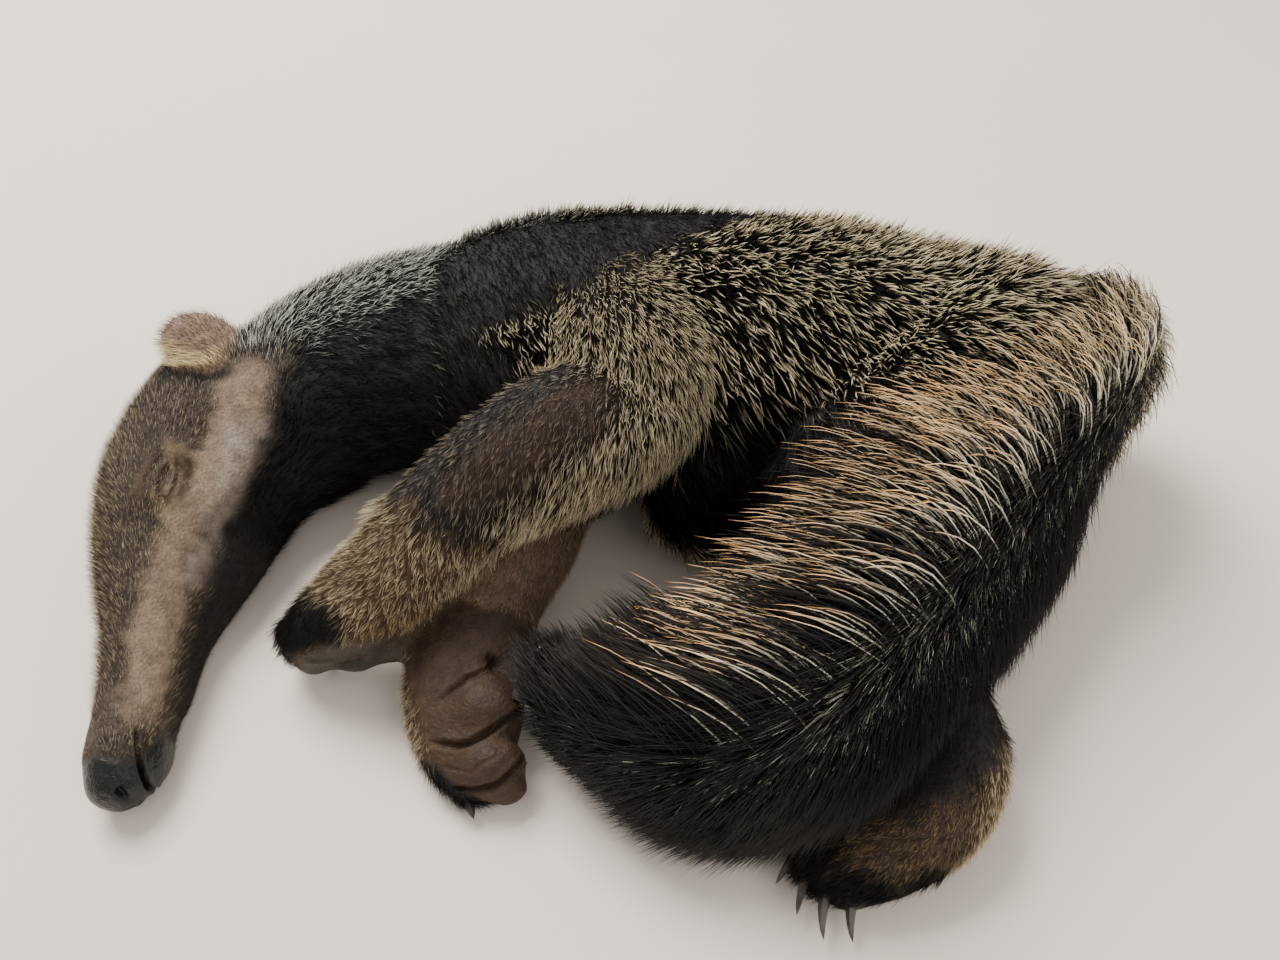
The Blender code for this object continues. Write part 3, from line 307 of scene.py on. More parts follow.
# A crease, slit or pit: its width, depth, how far its lips swell, and the points of its line. A line
# given in plan cuts the skin at every height.
CREASES = {
    "mouth": (0.38, 2.4, 0.5, [(-126.4, 129.6), (-125.2, 124.5), (-123.6, 118.5), (-121.0, 109.0)]),
    "eye_slit": (0.5, 1.6, 0.4, [
        (-131.2, 197.6, 42.4), (-132.2, 194.0, 41.6), (-132.1, 190.4, 40.3), (-130.9, 186.6, 39.3)
    ]),
    "upper_lid_fold": (0.6, 0.7, 0.3, [
        (-129.2, 200.0, 43.0), (-127.7, 195.0, 41.6), (-127.7, 190.4, 40.0), (-129.0, 185.6, 38.8)
    ]),
    "lower_lid_fold": (0.7, 0.4, 0.2, [
        (-133.4, 200.0, 43.2), (-135.6, 195.0, 42.2), (-135.6, 189.6, 40.8), (-133.2, 184.2, 39.2)
    ]),
    "brow_fold": (0.9, 0.5, 0.3, [(-126.0, 204.0, 43.6), (-124.0, 197.0, 41.4), (-124.6, 189.0, 39.2)]),
    "cheek_fold": (1.1, 0.5, 0.3, [(-122.0, 219.0, 47.0), (-123.5, 212.0, 45.0), (-122.5, 204.0, 42.5)]),
    "nostril": (0.9, 1.7, 0.4, [(-127.9, 115.2, 14.6), (-127.2, 114.0, 12.9), (-126.2, 113.2, 10.8)]),
    "nostril_low": (1.0, 2.0, 0.4, [(-127.6, 113.0, 3.4), (-126.8, 112.8, 4.8)]),
    "palm_hole": (1.5, 3.4, 0.2, [(-39.5, 146.6, 21.8), (-36.5, 145.4, 20.6)]),
    "palm_fold_1": (0.7, 1.3, 0.35, [
        (-50.5, 136.5, 19.6), (-47.6, 139.2, 20.6), (-43.8, 141.8, 21.7), (-38.0, 144.8, 21.8)
    ]),
    "palm_fold_2": (0.75, 2.2, 0.3, [
        (-52.5, 127.5, 14.0), (-46.0, 126.0, 15.4), (-39.5, 127.6, 17.0), (-34.1, 131.3, 18.1),
        (-29.0, 137.0, 17.0)
    ]),
    "palm_fold_3": (0.75, 2.2, 0.3, [
        (-47.5, 117.6, 8.8), (-41.0, 116.0, 10.6), (-35.9, 116.8, 12.3), (-31.1, 120.2, 14.1),
        (-26.4, 126.2, 13.0)
    ]),
    "palm_line": (0.5, 0.4, 0.1, [(-53.5, 148.0, 20.5), (-48.0, 149.5, 22.5), (-42.0, 152.5, 23.0)]),
    "palm_line_low": (0.5, 0.35, 0.1, [(-49.0, 121.5, 12.0), (-42.0, 120.5, 13.5), (-36.0, 123.0, 14.5)]),
    "paw_hole": (1.8, 3.0, 0.3, [(-79.0, 149.6, 14.5), (-75.0, 150.4, 14.0)]),
    "paw_fold": (0.7, 1.0, 0.3, [(-89.0, 150.0, 18.0), (-82.0, 148.5, 19.5), (-73.0, 149.5, 19.0)]),
}
# Places where the skin is cut finer: centre, radius and cuts per edge.
FINE_PLACES = [
    ((-130, 191, 41), 11, 3),
    ((-127, 117, 10), 15, 3),
    ((-39, 130, 14), 22, 2),
    ((-132, 240, 51), 17, 1),
]
# The closed eye: its centre, then the height and width of the hollow round it and of the ball in it.
EYE = (-131.5, 192, 41)
EYE_MOUNDS = ((-0.9, 9.0), (0.5, 3.6))
# Where the nose's bare skin ends along the snout, the stretch across the snout over which that end
# steps back, and by how much.
NOSE_END = (119.5, 123.5)
LIP_SIDE = (-125, -121)
LIP_STEP = 8.0

# Roughness and specular level of each fur.
FUR_SHINE = {"short_fur": (0.6, 0.12), "tail_hair": (0.42, 0.3)}
# A light's place, width and colour.
LIGHTS = {
    "key": ((-0.5, 0.6, 1.1), 0.7, (1.0, 0.97, 0.93)),
    "fill": ((0.7, -0.7, 0.9), 0.9, (1.0, 0.98, 0.96)),
}
SKY_COLOUR = (1.0, 0.98, 0.96, 1.0)
# The camera: its sensor in millimetres, the photograph's width and focal length in its pixels, and the
# turn from straight down.
SENSOR_WIDTH = 36.0
PHOTO_WIDTH = 1280.0
FOCAL_PIXELS = 1044.0
CAMERA_TILT = math.radians(42.0)

# The roots on the finished skin, for the steps after it.
SKIN = {}


class AnteaterColours(bpy.types.PropertyGroup):
    """Colours of hide and fur."""


def colour_property(label, value, about):
    return bpy.props.FloatVectorProperty(
        name=label, description=about, subtype="COLOR", size=3, min=0.0, max=1.0, default=value
    )


COLOURS = {
    "hide_black": ("Black hide", (0.010, 0.009, 0.009), "Hide under the black fur"),
    "hide_brown": ("Brown hide", (0.034, 0.024, 0.016), "Hide on the bridge of the snout"),
    "hide_taupe": ("Cheek hide", (0.195, 0.138, 0.094), "Hide on the side of the face"),
    "hide_ochre": ("Ochre hide", (0.13, 0.092, 0.048), "Stained hide above and below the eye"),
    "hide_stone": ("Grey cheek hide", (0.21, 0.172, 0.135), "Hide towards the throat side of the face"),
    "hide_tan": ("Tan hide", (0.16, 0.105, 0.070), "Hide under the pale arm fur"),
    "hide_umber": ("Umber hide", (0.050, 0.033, 0.024), "Hide on the forearm and instep"),
    "wrist_brown": ("Wrist brown", (0.080, 0.048, 0.025), "Hide and under fur of the wrist"),
    "muzzle_brown": ("Muzzle brown", (0.080, 0.056, 0.040), "Smooth hide behind the nose"),
    "hide_dusk": ("Forearm hide", (0.028, 0.015, 0.009), "Hide of the thinly furred forearm"),
    "leather": ("Palm leather", (0.042, 0.023, 0.012), "Bare skin of the palms"),
    "sole_grey": ("Sole skin", (0.040, 0.031, 0.023), "Bare skin along the sole"),
    "slate": ("Nose skin", (0.007, 0.0085, 0.009), "Moist skin of the nose and lip"),
    "eye_dark": ("Eye stain", (0.045, 0.027, 0.014), "Stained hide round the closed eye"),
    "ear_pink": ("Ear skin", (0.25, 0.165, 0.12), "Thin skin of the ear"),
    "fur_black": ("Black fur", (0.007, 0.0065, 0.0065), "Black fur"),
    "fur_sooty": ("Sooty fur", (0.020, 0.015, 0.012), "Brownish black fur"),
    "fur_umber": ("Umber fur", (0.042, 0.027, 0.017), "Dark brown fur"),
    "fur_smoke": ("Smoke fur", (0.045, 0.042, 0.038), "Grey roots of the neck crest"),
    "fur_brown": ("Brown fur", (0.038, 0.027, 0.018), "Short fur of the snout"),
    "fur_taupe": ("Cheek fur", (0.23, 0.17, 0.118), "Short fur of the cheek"),
    "fur_ochre": ("Ochre fur", (0.17, 0.105, 0.05), "Roots of the tan fur"),
    "ear_hair": ("Ear hair", (0.24, 0.165, 0.115), "Hair on the back of the ear"),
    "tip_grey": ("Grey tips", (0.62, 0.50, 0.31), "Pale tips on the head"),
    "tip_fawn": ("Fawn tips", (0.42, 0.33, 0.24), "Pale tips on thin fur"),
    "tip_silver": ("Silver tips", (0.74, 0.74, 0.66), "Pale tips of the neck crest"),
    "tip_pale": ("Back line tips", (0.70, 0.66, 0.50), "Pale tips along the back"),
    "tip_cream": ("Cream tips", (0.90, 0.77, 0.49), "Pale tips of the shoulder and flank"),
    "tip_straw": ("Straw tips", (0.92, 0.76, 0.48), "Pale tips of the wrist"),
    "tip_blond": ("Blond tips", (0.55, 0.40, 0.20), "Roots of the pale ear hairs"),
    "tip_tan": ("Tan tips", (0.52, 0.37, 0.22), "Tips of the right forearm"),
    "tip_ochre": ("Ochre tips", (0.48, 0.33, 0.16), "Tips on the hind foot"),
    "tip_butter": ("Butter tips", (0.88, 0.74, 0.42), "Long pale hairs of the ear"),
    "tail_silver": ("Tail silver", (0.92, 0.86, 0.66), "Pale middle of the long tail hairs"),
    "tail_amber": ("Tail amber", (0.82, 0.43, 0.14), "Warm ends of the long tail hairs"),
    "horn": ("Claw horn", (0.045, 0.036, 0.030), "Claws"),
}
for _key, (_label, _value, _about) in COLOURS.items():
    AnteaterColours.__annotations__[_key] = colour_property(_label, _value, _about)


def number_property(label, value, about, **more):
    return bpy.props.FloatProperty(name=label, description=about, default=value, **more)


def length_property(label, value, about, **more):
    return number_property(label, value, about, unit="LENGTH", precision=4, **more)


def count_property(label, value, about, **more):
    return bpy.props.IntProperty(name=label, description=about, default=value, **more)


class SkinSettings(bpy.types.PropertyGroup):
    """Sizes of the skin."""

    close_gap: length_property("Close gap", 0.0005, "How far the parts grow, so that gaps close", min=0.0)
    voxel: length_property("Voxel", 0.0014, "Size of the skin's faces", min=0.0005)
    smoothing: count_property("Smoothing", 6, "Rounds of smoothing", min=0)
    blend: count_property("Blend", 14, "Rounds that soften borders of depth", min=0)


class CoatSettings(bpy.types.PropertyGroup):
    """Amount and size of the short fur."""

    density: number_property("Density", 1.0, "Share of the full number of tufts", min=0.0)
    length: number_property("Length", 1.0, "Share of the full length of the fur", min=0.0)
    seed: count_property("Seed", 3, "Seed of the scatter")


class TailSettings(bpy.types.PropertyGroup):
    """Hair of the tail."""

    ridge_hairs: count_property("Ridge hairs", 2700, "Long hairs along the raised edge")
    ridge_length: length_property("Ridge length", 0.044, "Length of the long hairs")
    ridge_room: length_property("Ridge room", 0.008, "How far the long hairs pass the raised edge")
    hair_top: length_property("Hair top", 0.092, "Height that the long hairs stay under")
    side_hairs: count_property("Side hairs", 15000, "Black hairs of both sides")
    side_length: length_property("Side length", 0.024, "Length of the black hairs")
    # Pale hairs of the side; the brightest of them are painted glints.
    silver_hairs: count_property("Silver hairs", 7500, "Pale hairs of the side")
    low_hairs: count_property("Low hairs", 13000, "Hairs of the low edge")
    corner_hairs: count_property("Corner hairs", 1500, "Curled hairs where the tail leaves the rump")
    seed: count_property("Seed", 5, "Seed of the scatter")


class StageSettings(bpy.types.PropertyGroup):
    """Floor, light and camera."""

    floor_colour: colour_property("Floor colour", (0.88, 0.78, 0.69), "Pale floor")
    floor_size: length_property("Floor size", 6.0, "Width of the floor")
    key_power: number_property("Key power", 29.0, "Power of the main light")
    fill_power: number_property("Fill power", 5.0, "Power of the fill light")
    sky_strength: number_property("Sky strength", 0.68, "Even light from all round")
    camera_height: length_property("Camera height", 0.255, "Height of the camera over the floor")
    camera_tilt: number_property("Camera tilt", CAMERA_TILT, "Turn from straight down", subtype="ANGLE")


def layout(points):
    """Points in layout millimetres as metres in the model's frame."""
    return (np.asarray(points, dtype=float) - LAYOUT_CENTRE) * MM


def unit(vectors):
    return vectors / np.maximum(np.linalg.norm(vectors, axis=-1, keepdims=True), 1e-12)


def ramp(low, high, values):
    """Smooth step from 0 at low to 1 at high."""
    t = np.clip((values - low) / (high - low), 0.0, 1.0)
    return t * t * (3.0 - 2.0 * t)


def hump(height, rise, fall, values):
    """Smooth step from 0 up to the height, and down to 0 again."""
    return height * ramp(*rise, values) * (1 - ramp(*fall, values))


def wobble(points, size):
    """Smooth noise between about -1 and 1, with lumps of that size in metres."""
    x, y, z = (points / size).T
    a = np.sin(x * 1.7 + 1.3 * np.sin(y * 1.1 + 0.5)) + np.sin(y * 1.9 + 1.1 * np.sin(z * 1.3))
    b = np.sin(z * 1.5 + 1.2 * np.sin(x * 1.4 + 2.0)) + np.sin((x + y + z) * 1.2)
    return (a + b) / 3.2


def path_distance(points, path, radii=None):
    """Distance to a line less its radius there, the line's heading there and how far along it that is."""
    best = np.full(len(points), np.inf)
    heading = np.zeros((len(points), 3))
    place = np.zeros(len(points))
    radii = np.zeros(len(path)) if radii is None else np.asarray(radii)
    for k in range(len(path) - 1):
        a, b = path[k], path[k + 1]
        t = np.clip((points - a) @ (b - a) / max((b - a) @ (b - a), 1e-12), 0.0, 1.0)
        radius = radii[k] + t * (radii[k + 1] - radii[k])
        away = np.linalg.norm(points - (a + t[:, None] * (b - a)), axis=1) - radius
        closer = away < best
        best[closer] = away[closer]
        heading[closer] = (b - a) / np.linalg.norm(b - a)
        place[closer] = ((k + t) / (len(path) - 1))[closer]
    return best, heading, place


def select_only(*objects):
    for obj in list(bpy.context.selected_objects):
        obj.select_set(False)
    for obj in objects:
        obj.select_set(True)
    bpy.context.view_layer.objects.active = objects[0]


def apply_modifier(obj, kind, **values):
    modifier = obj.modifiers.new(kind.lower(), kind)
    for key, value in values.items():
        setattr(modifier, key, value)
    select_only(obj)
    bpy.ops.object.modifier_apply(modifier=modifier.name)


def new_object(name, mesh):
    obj = bpy.data.objects.new(name, mesh)
    bpy.context.scene.collection.objects.link(obj)
    return obj


def smooth_through(rows, count):
    """That many values on a smooth line through the rows."""
    rows = np.asarray(rows, dtype=float)
    last = len(rows) - 1
    made = []
    for i in range(count):
        at = last * i / (count - 1)
        k = min(int(at), last - 1)
        t = at - k
        p0, p1, p2, p3 = (rows[max(0, min(last, k + step))] for step in (-1, 0, 1, 2))
        square = (2 * p0 - 5 * p1 + 4 * p2 - p3) * t**2
        cube = (3 * p1 - p0 - 3 * p2 + p3) * t**3
        made.append(0.5 * (2 * p1 + (p2 - p0) * t + square + cube))
    return np.array(made)


def tail_frames(count):
    """Centres of the tail, its way to the raised edge, its outer side and its way along, in metres."""
    rows = []
    for high, low, thick in TAIL:
        high, low = layout(high), layout(low)
        rows.append(np.concatenate((high + low, high - low, [2 * thick * MM])) / 2)
    rows = smooth_through(rows, count)
    centre, side, thick = rows[:, :3], rows[:, 3:6], rows[:, 6:]
    along = unit(np.gradient(centre, axis=0))
    up = unit(np.cross(side, along))
    up *= np.where(up[:, 2:] < 0, -1.0, 1.0)
    return centre, side, up * thick, along


def core_rings():
    """Where a circle stands at each ring of the tail's core, smaller at both ends."""
    centre, side, up, along = tail_frames(CORE_RINGS)
    station = np.linspace(0.0, 1.0, len(centre))
    low = LOW_CORE_SHARE - hump(CORNER_CUT, (0.08, 0.18), (0.3, 0.45), station)
    centre = centre - side * (low - CORE_SHARE)[:, None] / 2
    side = side * (CORE_SHARE + low)[:, None] / 2
    up = up * (0.45 + 0.55 * CORE_SHARE)
    rings = []
    for place, *ways in zip(centre, side, up, along):
        rings.append(Matrix.Translation(Vector(place)) @ Matrix(ways).transposed().to_4x4())
    half = Matrix.Diagonal((0.5, 0.5, 1.0, 1.0))
    return [rings[0] @ half, *rings, rings[-1] @ Matrix.Translation((0, 0, CORE_END)) @ half]


def tail_core():
    """The tail under its hair, extruded from a circle along its line."""
    rings = core_rings()
    bpy.ops.mesh.primitive_circle_add(
        vertices=CORE_SIDES, radius=1.0, fill_type="NOTHING", location=(0, 0, 0)
    )
    core = bpy.context.object
    core.name = "tail_core"
    core.data.transform(rings[0])
    bpy.ops.object.mode_set(mode="EDIT")
    bpy.ops.mesh.select_all(action="SELECT")
    for before, after in zip(rings, rings[1:]):
        bpy.ops.mesh.extrude_region_move()
        bm = bmesh.from_edit_mesh(core.data)
        bmesh.ops.transform(bm, matrix=after @ before.inverted(), verts=[v for v in bm.verts if v.select])
        bmesh.update_edit_mesh(core.data)
    bpy.ops.mesh.select_all(action="SELECT")
    bpy.ops.mesh.fill_holes(sides=0)
    bpy.ops.mesh.normals_make_consistent(inside=False)
    bpy.ops.object.mode_set(mode="OBJECT")
    return core


def label_tree(sources):
    """A search tree over the sources' faces, with the part that each face belongs to."""
    points, faces, parts = [], [], []
    for part, obj in sources:
        first = len(points)
        points += [v.co.copy() for v in obj.data.vertices]
        for face in obj.data.polygons:
            faces.append([first + i for i in face.vertices])
            parts.append(PARTS.index(part))
    return BVHTree.FromPolygons(points, faces), parts


class SkinShape:
    """The skin's mesh as arrays."""

    def __init__(self, obj):
        mesh = obj.data
        count = len(mesh.vertices)
        self.obj = obj
        self.co = np.empty(count * 3)
        mesh.vertices.foreach_get("co", self.co)
        self.co = self.co.reshape(-1, 3)
        self.normal = np.empty(count * 3, dtype=np.float32)
        mesh.vertices.foreach_get("normal", self.normal)
        self.normal = self.normal.reshape(-1, 3).astype(float)
        self.edges = np.empty(len(mesh.edges) * 2, dtype=np.int32)
        mesh.edges.foreach_get("vertices", self.edges)
        self.edges = self.edges.reshape(-1, 2)

    def soften(self, values, rounds):
        """Values per vertex, evened out along the edges."""
        values = np.asarray(values, dtype=float)
        flat = values.reshape(len(self.co), -1)
        a, b = self.edges.T
        count = np.maximum(np.bincount(a, minlength=len(flat)) + np.bincount(b, minlength=len(flat)), 1)
        for _ in range(rounds):
            total = np.stack(
                [
                    np.bincount(a, weights=column[b], minlength=len(flat))
                    + np.bincount(b, weights=column[a], minlength=len(flat))
                    for column in flat.T
                ],
                axis=1,
            )
            flat = 0.5 * flat + 0.5 * total / count[:, None]
        return flat.reshape(values.shape)

    def write(self):
        self.obj.data.vertices.foreach_set("co", self.co.astype(np.float32).ravel())
        self.obj.data.update()


def part_labels(shape, tree, parts):
    return np.array([parts[tree.find_nearest(Vector(p))[2]] for p in shape.co])


def refine(obj, places):
    """Cuts the faces near each place finer, and rounds them again."""
    for centre, radius, cuts in places:
        middle = Vector(layout(centre))
        select_only(obj)
        bpy.ops.object.mode_set(mode="EDIT")
        bpy.ops.mesh.select_all(action="DESELECT")
        bm = bmesh.from_edit_mesh(obj.data)
        for face in bm.faces:
            face.select = (face.calc_center_median() - middle).length < radius * MM
        bm.select_flush_mode()
        bmesh.update_edit_mesh(obj.data)
        bpy.ops.mesh.subdivide(number_cuts=cuts, smoothness=0.0)
        bpy.ops.mesh.vertices_smooth(factor=0.5, repeat=4)
        bpy.ops.object.mode_set(mode="OBJECT")


def carve(shape):
    """Presses the creases, slits and pits into the skin and swells the lips beside them."""
    for width, depth, swell, points in CREASES.values():
        heights = np.array((1, 1, len(points[0]) - 2))
        line = smooth_through(layout([(*point, 0)[:3] for point in points]) * heights, 9)
        if heights[2]:
            line = np.array([shape.co[np.argmin(((shape.co - point) ** 2).sum(axis=1))] for point in line])
        away, _, place = path_distance(shape.co * heights, line)
        x = away / (width * MM)
        fade = 0.25 + 0.75 * np.sin(math.pi * np.clip(place, 0.0, 1.0)) ** 0.7
        if not heights[2]:
            fade = ramp(0.0, 0.25, place)
        move = (-depth * np.exp(-(x**2)) + swell * np.exp(-((x - 2.1) ** 2))) * fade
        move[x > 5] = 0.0
        shape.co += shape.normal * (move * MM)[:, None]
    eye = np.linalg.norm(shape.co - layout(EYE), axis=1) / MM
    for height, width in EYE_MOUNDS:
        shape.co += shape.normal * (height * MM * np.exp(-((eye / width) ** 2)))[:, None]


def size_column(name):
    """Where a size stands in a coat's row, after its three colours of three numbers."""
    return 3 * len(TINTS) + SIZES.index(name)


def coat_table(colours):
    """Each coat as a row of numbers: its colours, then its sizes."""
    rows = {}
    for name, (hide, under, tip, *sizes) in COATS.items():
        rows[name] = np.concatenate([getattr(colours, key)[:] for key in (hide, under, tip)] + [sizes])
    return rows


def nose_mask(shape, labels):
    """How far each vertex of the skin is the nose's bare skin, from 0 to 1."""
    head = np.isin(labels, [PARTS.index("head")])
    y = shape.co[:, 1] / MM + LAYOUT_CENTRE[1] + 1.2 * wobble(shape.co, 0.003)
    step = LIP_STEP * ramp(*LIP_SIDE, shape.co[:, 0] / MM + LAYOUT_CENTRE[0])
    return (1.0 - ramp(NOSE_END[0] + step, NOSE_END[1] + step, y)) * head


def plan_coat(shape, labels, colours):
    """The coat's values at each vertex, markings painted over each other, and how glossy it is."""
    rows = coat_table(colours)
    plan = np.zeros((len(shape.co), 3 * len(TINTS) + len(SIZES)))
    for i, part in enumerate(PARTS):
        coat = PART_COATS.get(part) or PART_COATS.get(part.rsplit("_", 1)[0])
        plan[labels == i] = rows[coat]
    plan = shape.soften(plan, 5)
    uneven = wobble(shape.co, 0.0035) * 0.8 + wobble(shape.co[:, [1, 2, 0]], 0.0014) * 0.6
    for coat, parts, soft, points in MARKINGS:
        points = np.asarray(points, dtype=float)
        away, _, _ = path_distance(shape.co, layout(points[:, :3]), points[:, 3] * MM)
        mask = 1.0 - ramp(-soft * MM, soft * MM, away + uneven * soft * 0.7 * MM)
        allowed = np.isin(labels, [PARTS.index(p) for p in parts]).astype(float)
        mask = (mask * shape.soften(allowed, 3))[:, None]
        plan = plan * (1 - mask) + rows[coat] * mask
    nose = nose_mask(shape, labels)
    plan = plan * (1 - nose[:, None]) + rows["nose"] * nose[:, None]
    bare = 1.0 - ramp(0.0, 0.8, plan[:, size_column("density")])
    return plan, np.clip(nose + 0.3 * bare, 0.0, 1.0)


def plan_lie(shape, labels):
    """The way the fur lies at each vertex of the skin."""
    lie = np.zeros_like(shape.co)
    for i, part in enumerate(PARTS):
        here = labels == i
        path, along, belly, down = FLOWS[part]
        _, heading, _ = path_distance(shape.co[here], layout(path))
        inward = np.stack((heading[:, 1], -heading[:, 0], np.zeros(len(heading))), axis=1)
        lie[here] = heading * along + inward * belly + HANG * down
    lie = shape.soften(lie, 60)
    lie -= shape.normal * np.sum(lie * shape.normal, axis=1, keepdims=True)
    return unit(lie)


ATTRIBUTE_KEYS = {"FLOAT_COLOR": "color", "FLOAT_VECTOR": "vector", "FLOAT": "value", "INT": "value"}


def store(mesh, name, kind, values):
    attribute = mesh.attributes.new(name, kind, "POINT")
    attribute.data.foreach_set(ATTRIBUTE_KEYS[kind], np.ascontiguousarray(values).ravel())


def fetch(mesh, name, width):
    attribute = mesh.attributes[name]
    number = np.int32 if attribute.data_type == "INT" else np.float32
    values = np.empty(len(mesh.vertices) * width, dtype=number)
    attribute.data.foreach_get(ATTRIBUTE_KEYS[attribute.data_type], values)
    return values.reshape(-1, width) if width > 1 else values


def rgba(colours):
    return np.concatenate((colours, np.ones((len(colours), 1))), axis=1).astype(np.float32)


def join_flesh():
    """Copies of the flesh and the tail's core as one object, with a search tree of their parts."""
    copies = [new_object(f"flesh_{n}", NODES[n].data.copy()) for n in FLESH]
    core = tail_core()
    tree, parts = label_tree([*zip(FLESH, copies), ("tail", core)])
    skin = copies[0]
    select_only(skin, *copies[1:], core)
    bpy.ops.object.join()
    skin.name = skin.data.name = "anteater_skin"
    bpy.ops.object.mode_set(mode="EDIT")
    bpy.ops.mesh.select_all(action="SELECT")
    bpy.ops.mesh.remove_doubles(threshold=MERGE_GAP)
    bpy.ops.object.mode_set(mode="OBJECT")
    return skin, tree, parts


def keep_plan(mesh, shape, labels, colours):
    """Stores the coat's colours and sizes, the lie of the fur and the parts on the skin."""
    plan, gloss = plan_coat(shape, labels, colours)
    store(mesh, "gloss", "FLOAT", gloss.astype(np.float32))
    for k, name in enumerate(TINTS):
        store(mesh, name, "FLOAT_COLOR", rgba(plan[:, 3 * k : 3 * k + 3]))
    for name in SIZES:
        store(mesh, name, "FLOAT", plan[:, size_column(name)].astype(np.float32))
    store(mesh, "part", "INT", labels.astype(np.int32))
    store(mesh, "lie", "FLOAT_VECTOR", plan_lie(shape, labels).astype(np.float32))


def make_skin(context):
    """One closed skin through all the flesh, with its markings, lie and coat sizes kept on it."""
    settings, colours = context.scene.anteater_skin, context.scene.anteater_colours
    skin, tree, parts = join_flesh()
    apply_modifier(skin, "DISPLACE", strength=settings.close_gap, mid_level=0.0)
    apply_modifier(skin, "REMESH", mode="VOXEL", voxel_size=settings.voxel)
    apply_modifier(skin, "SMOOTH", factor=0.5, iterations=settings.smoothing)
    refine(skin, FINE_PLACES)
    shape = SkinShape(skin)
    labels = part_labels(shape, tree, parts)
    plan, _ = plan_coat(shape, labels, colours)
    depth = shape.soften(plan[:, size_column("depth")], settings.blend) * MM + settings.close_gap
    depth *= 0.2 + 0.8 * ramp(-0.95, -0.4, shape.normal[:, 2])
    shape.co -= shape.normal * depth[:, None]
    carve(shape)
    shape.co[:, 2] = np.maximum(shape.co[:, 2], FLOOR_ROOM)
    shape.write()
    mesh = skin.data
    keep_plan(mesh, SkinShape(skin), labels, colours)
    mesh.polygons.foreach_set("use_smooth", np.ones(len(mesh.polygons), dtype=bool))
    mesh.materials.clear()
    mesh.materials.append(hide_material())
    select_only(skin)
    bpy.ops.object.mode_set(mode="EDIT")
    bpy.ops.mesh.select_all(action="SELECT")
    bpy.ops.uv.smart_project(angle_limit=math.radians(66), island_margin=0.002)
    bpy.ops.object.mode_set(mode="OBJECT")
    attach(skin, BODY)
    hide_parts(*FLESH, *TAIL_NODES)
    return skin


class SkinRoots:
    """The skin's triangles, from which roots of tufts are drawn."""

    def __init__(self, skin):
        mesh = skin.data
        mesh.calc_loop_triangles()
        count = len(mesh.loop_triangles)
        self.tris = np.empty(count * 3, dtype=np.int32)
        mesh.loop_triangles.foreach_get("vertices", self.tris)
        self.tris = self.tris.reshape(-1, 3)
        loops = np.empty(count * 3, dtype=np.int32)
        mesh.loop_triangles.foreach_get("loops", loops)
        uv = np.empty(len(mesh.loops) * 2, dtype=np.float32)
        mesh.uv_layers.active.data.foreach_get("uv", uv)
        self.uv = uv.reshape(-1, 2)[loops].reshape(-1, 3, 2)
        shape = SkinShape(skin)
        self.co, self.normal = shape.co, shape.normal
        a, b, c = (self.co[self.tris[:, k]] for k in range(3))
        self.area = np.linalg.norm(np.cross(b - a, c - a), axis=1) / 2
        self.part = fetch(mesh, "part", 1)
        self.values = {name: fetch(mesh, name, 1).astype(float) for name in SIZES}
        self.values["lie"] = fetch(mesh, "lie", 3).astype(float)
        for name in TINTS:
            self.values[name] = fetch(mesh, name, 4)[:, :3].astype(float)

    def draw(self, rng, weight, count=None):
        """Roots drawn by a weight per vertex, as tufts per square millimetre unless a count is given."""
        mass = weight[self.tris].mean(axis=1) * self.area / MM**2
        total = mass.sum()
        count = int(total) if count is None else count
        chosen = np.searchsorted(np.cumsum(mass) / total, rng.random(count))
        chosen = np.minimum(chosen, len(self.tris) - 1)
        r = rng.random((count, 2))
        r = np.where(r.sum(axis=1, keepdims=True) > 1, 1 - r, r)
        share = np.stack((1 - r.sum(axis=1), r[:, 0], r[:, 1]), axis=1)
        corners = self.tris[chosen]

        def at(values):
            return np.einsum("nk,nk...->n...", share, values[corners])

        drawn = {name: at(values) for name, values in self.values.items()}
        lie, normal = drawn["lie"], unit(at(self.normal))
        drawn["co"] = at(self.co)
        drawn["normal"] = normal
        drawn["uv"] = np.einsum("nk,nkj->nj", share, self.uv[chosen])
        drawn["lie"] = unit(lie - normal * np.sum(lie * normal, axis=1, keepdims=True))
        return drawn


def model_tuft(name):
    """One tuft of its rings on a unit root, extruded from a triangle and ending in a point."""
    bpy.ops.mesh.primitive_circle_add(vertices=3, radius=1.0, fill_type="NGON", location=(0, 0, 0))
    tuft = bpy.context.object
    tuft.name = name
    bpy.ops.object.mode_set(mode="EDIT")
    bpy.ops.mesh.select_all(action="SELECT")
    bpy.ops.mesh.flip_normals()
    low, wide = 0.0, 1.0
    for height, width in TUFTS[name]:
        bpy.ops.mesh.extrude_region_move(TRANSFORM_OT_translate={"value": (0, 0, height - low)})
        bpy.ops.transform.resize(value=(width / wide, width / wide, 1.0))
        low, wide = height, width
    bpy.ops.mesh.extrude_region_move(TRANSFORM_OT_translate={"value": (0, 0, 1.0 - low)})
    bpy.ops.mesh.merge(type="CENTER")
    bpy.ops.mesh.select_all(action="SELECT")
    bpy.ops.mesh.quads_convert_to_tris()
    bpy.ops.mesh.normals_make_consistent(inside=False)
    bpy.ops.object.mode_set(mode="OBJECT")
    points = np.array([v.co[:] for v in tuft.data.vertices])
    faces = np.array([f.vertices[:] for f in tuft.data.polygons])
    bpy.data.objects.remove(tuft)
    return points, faces


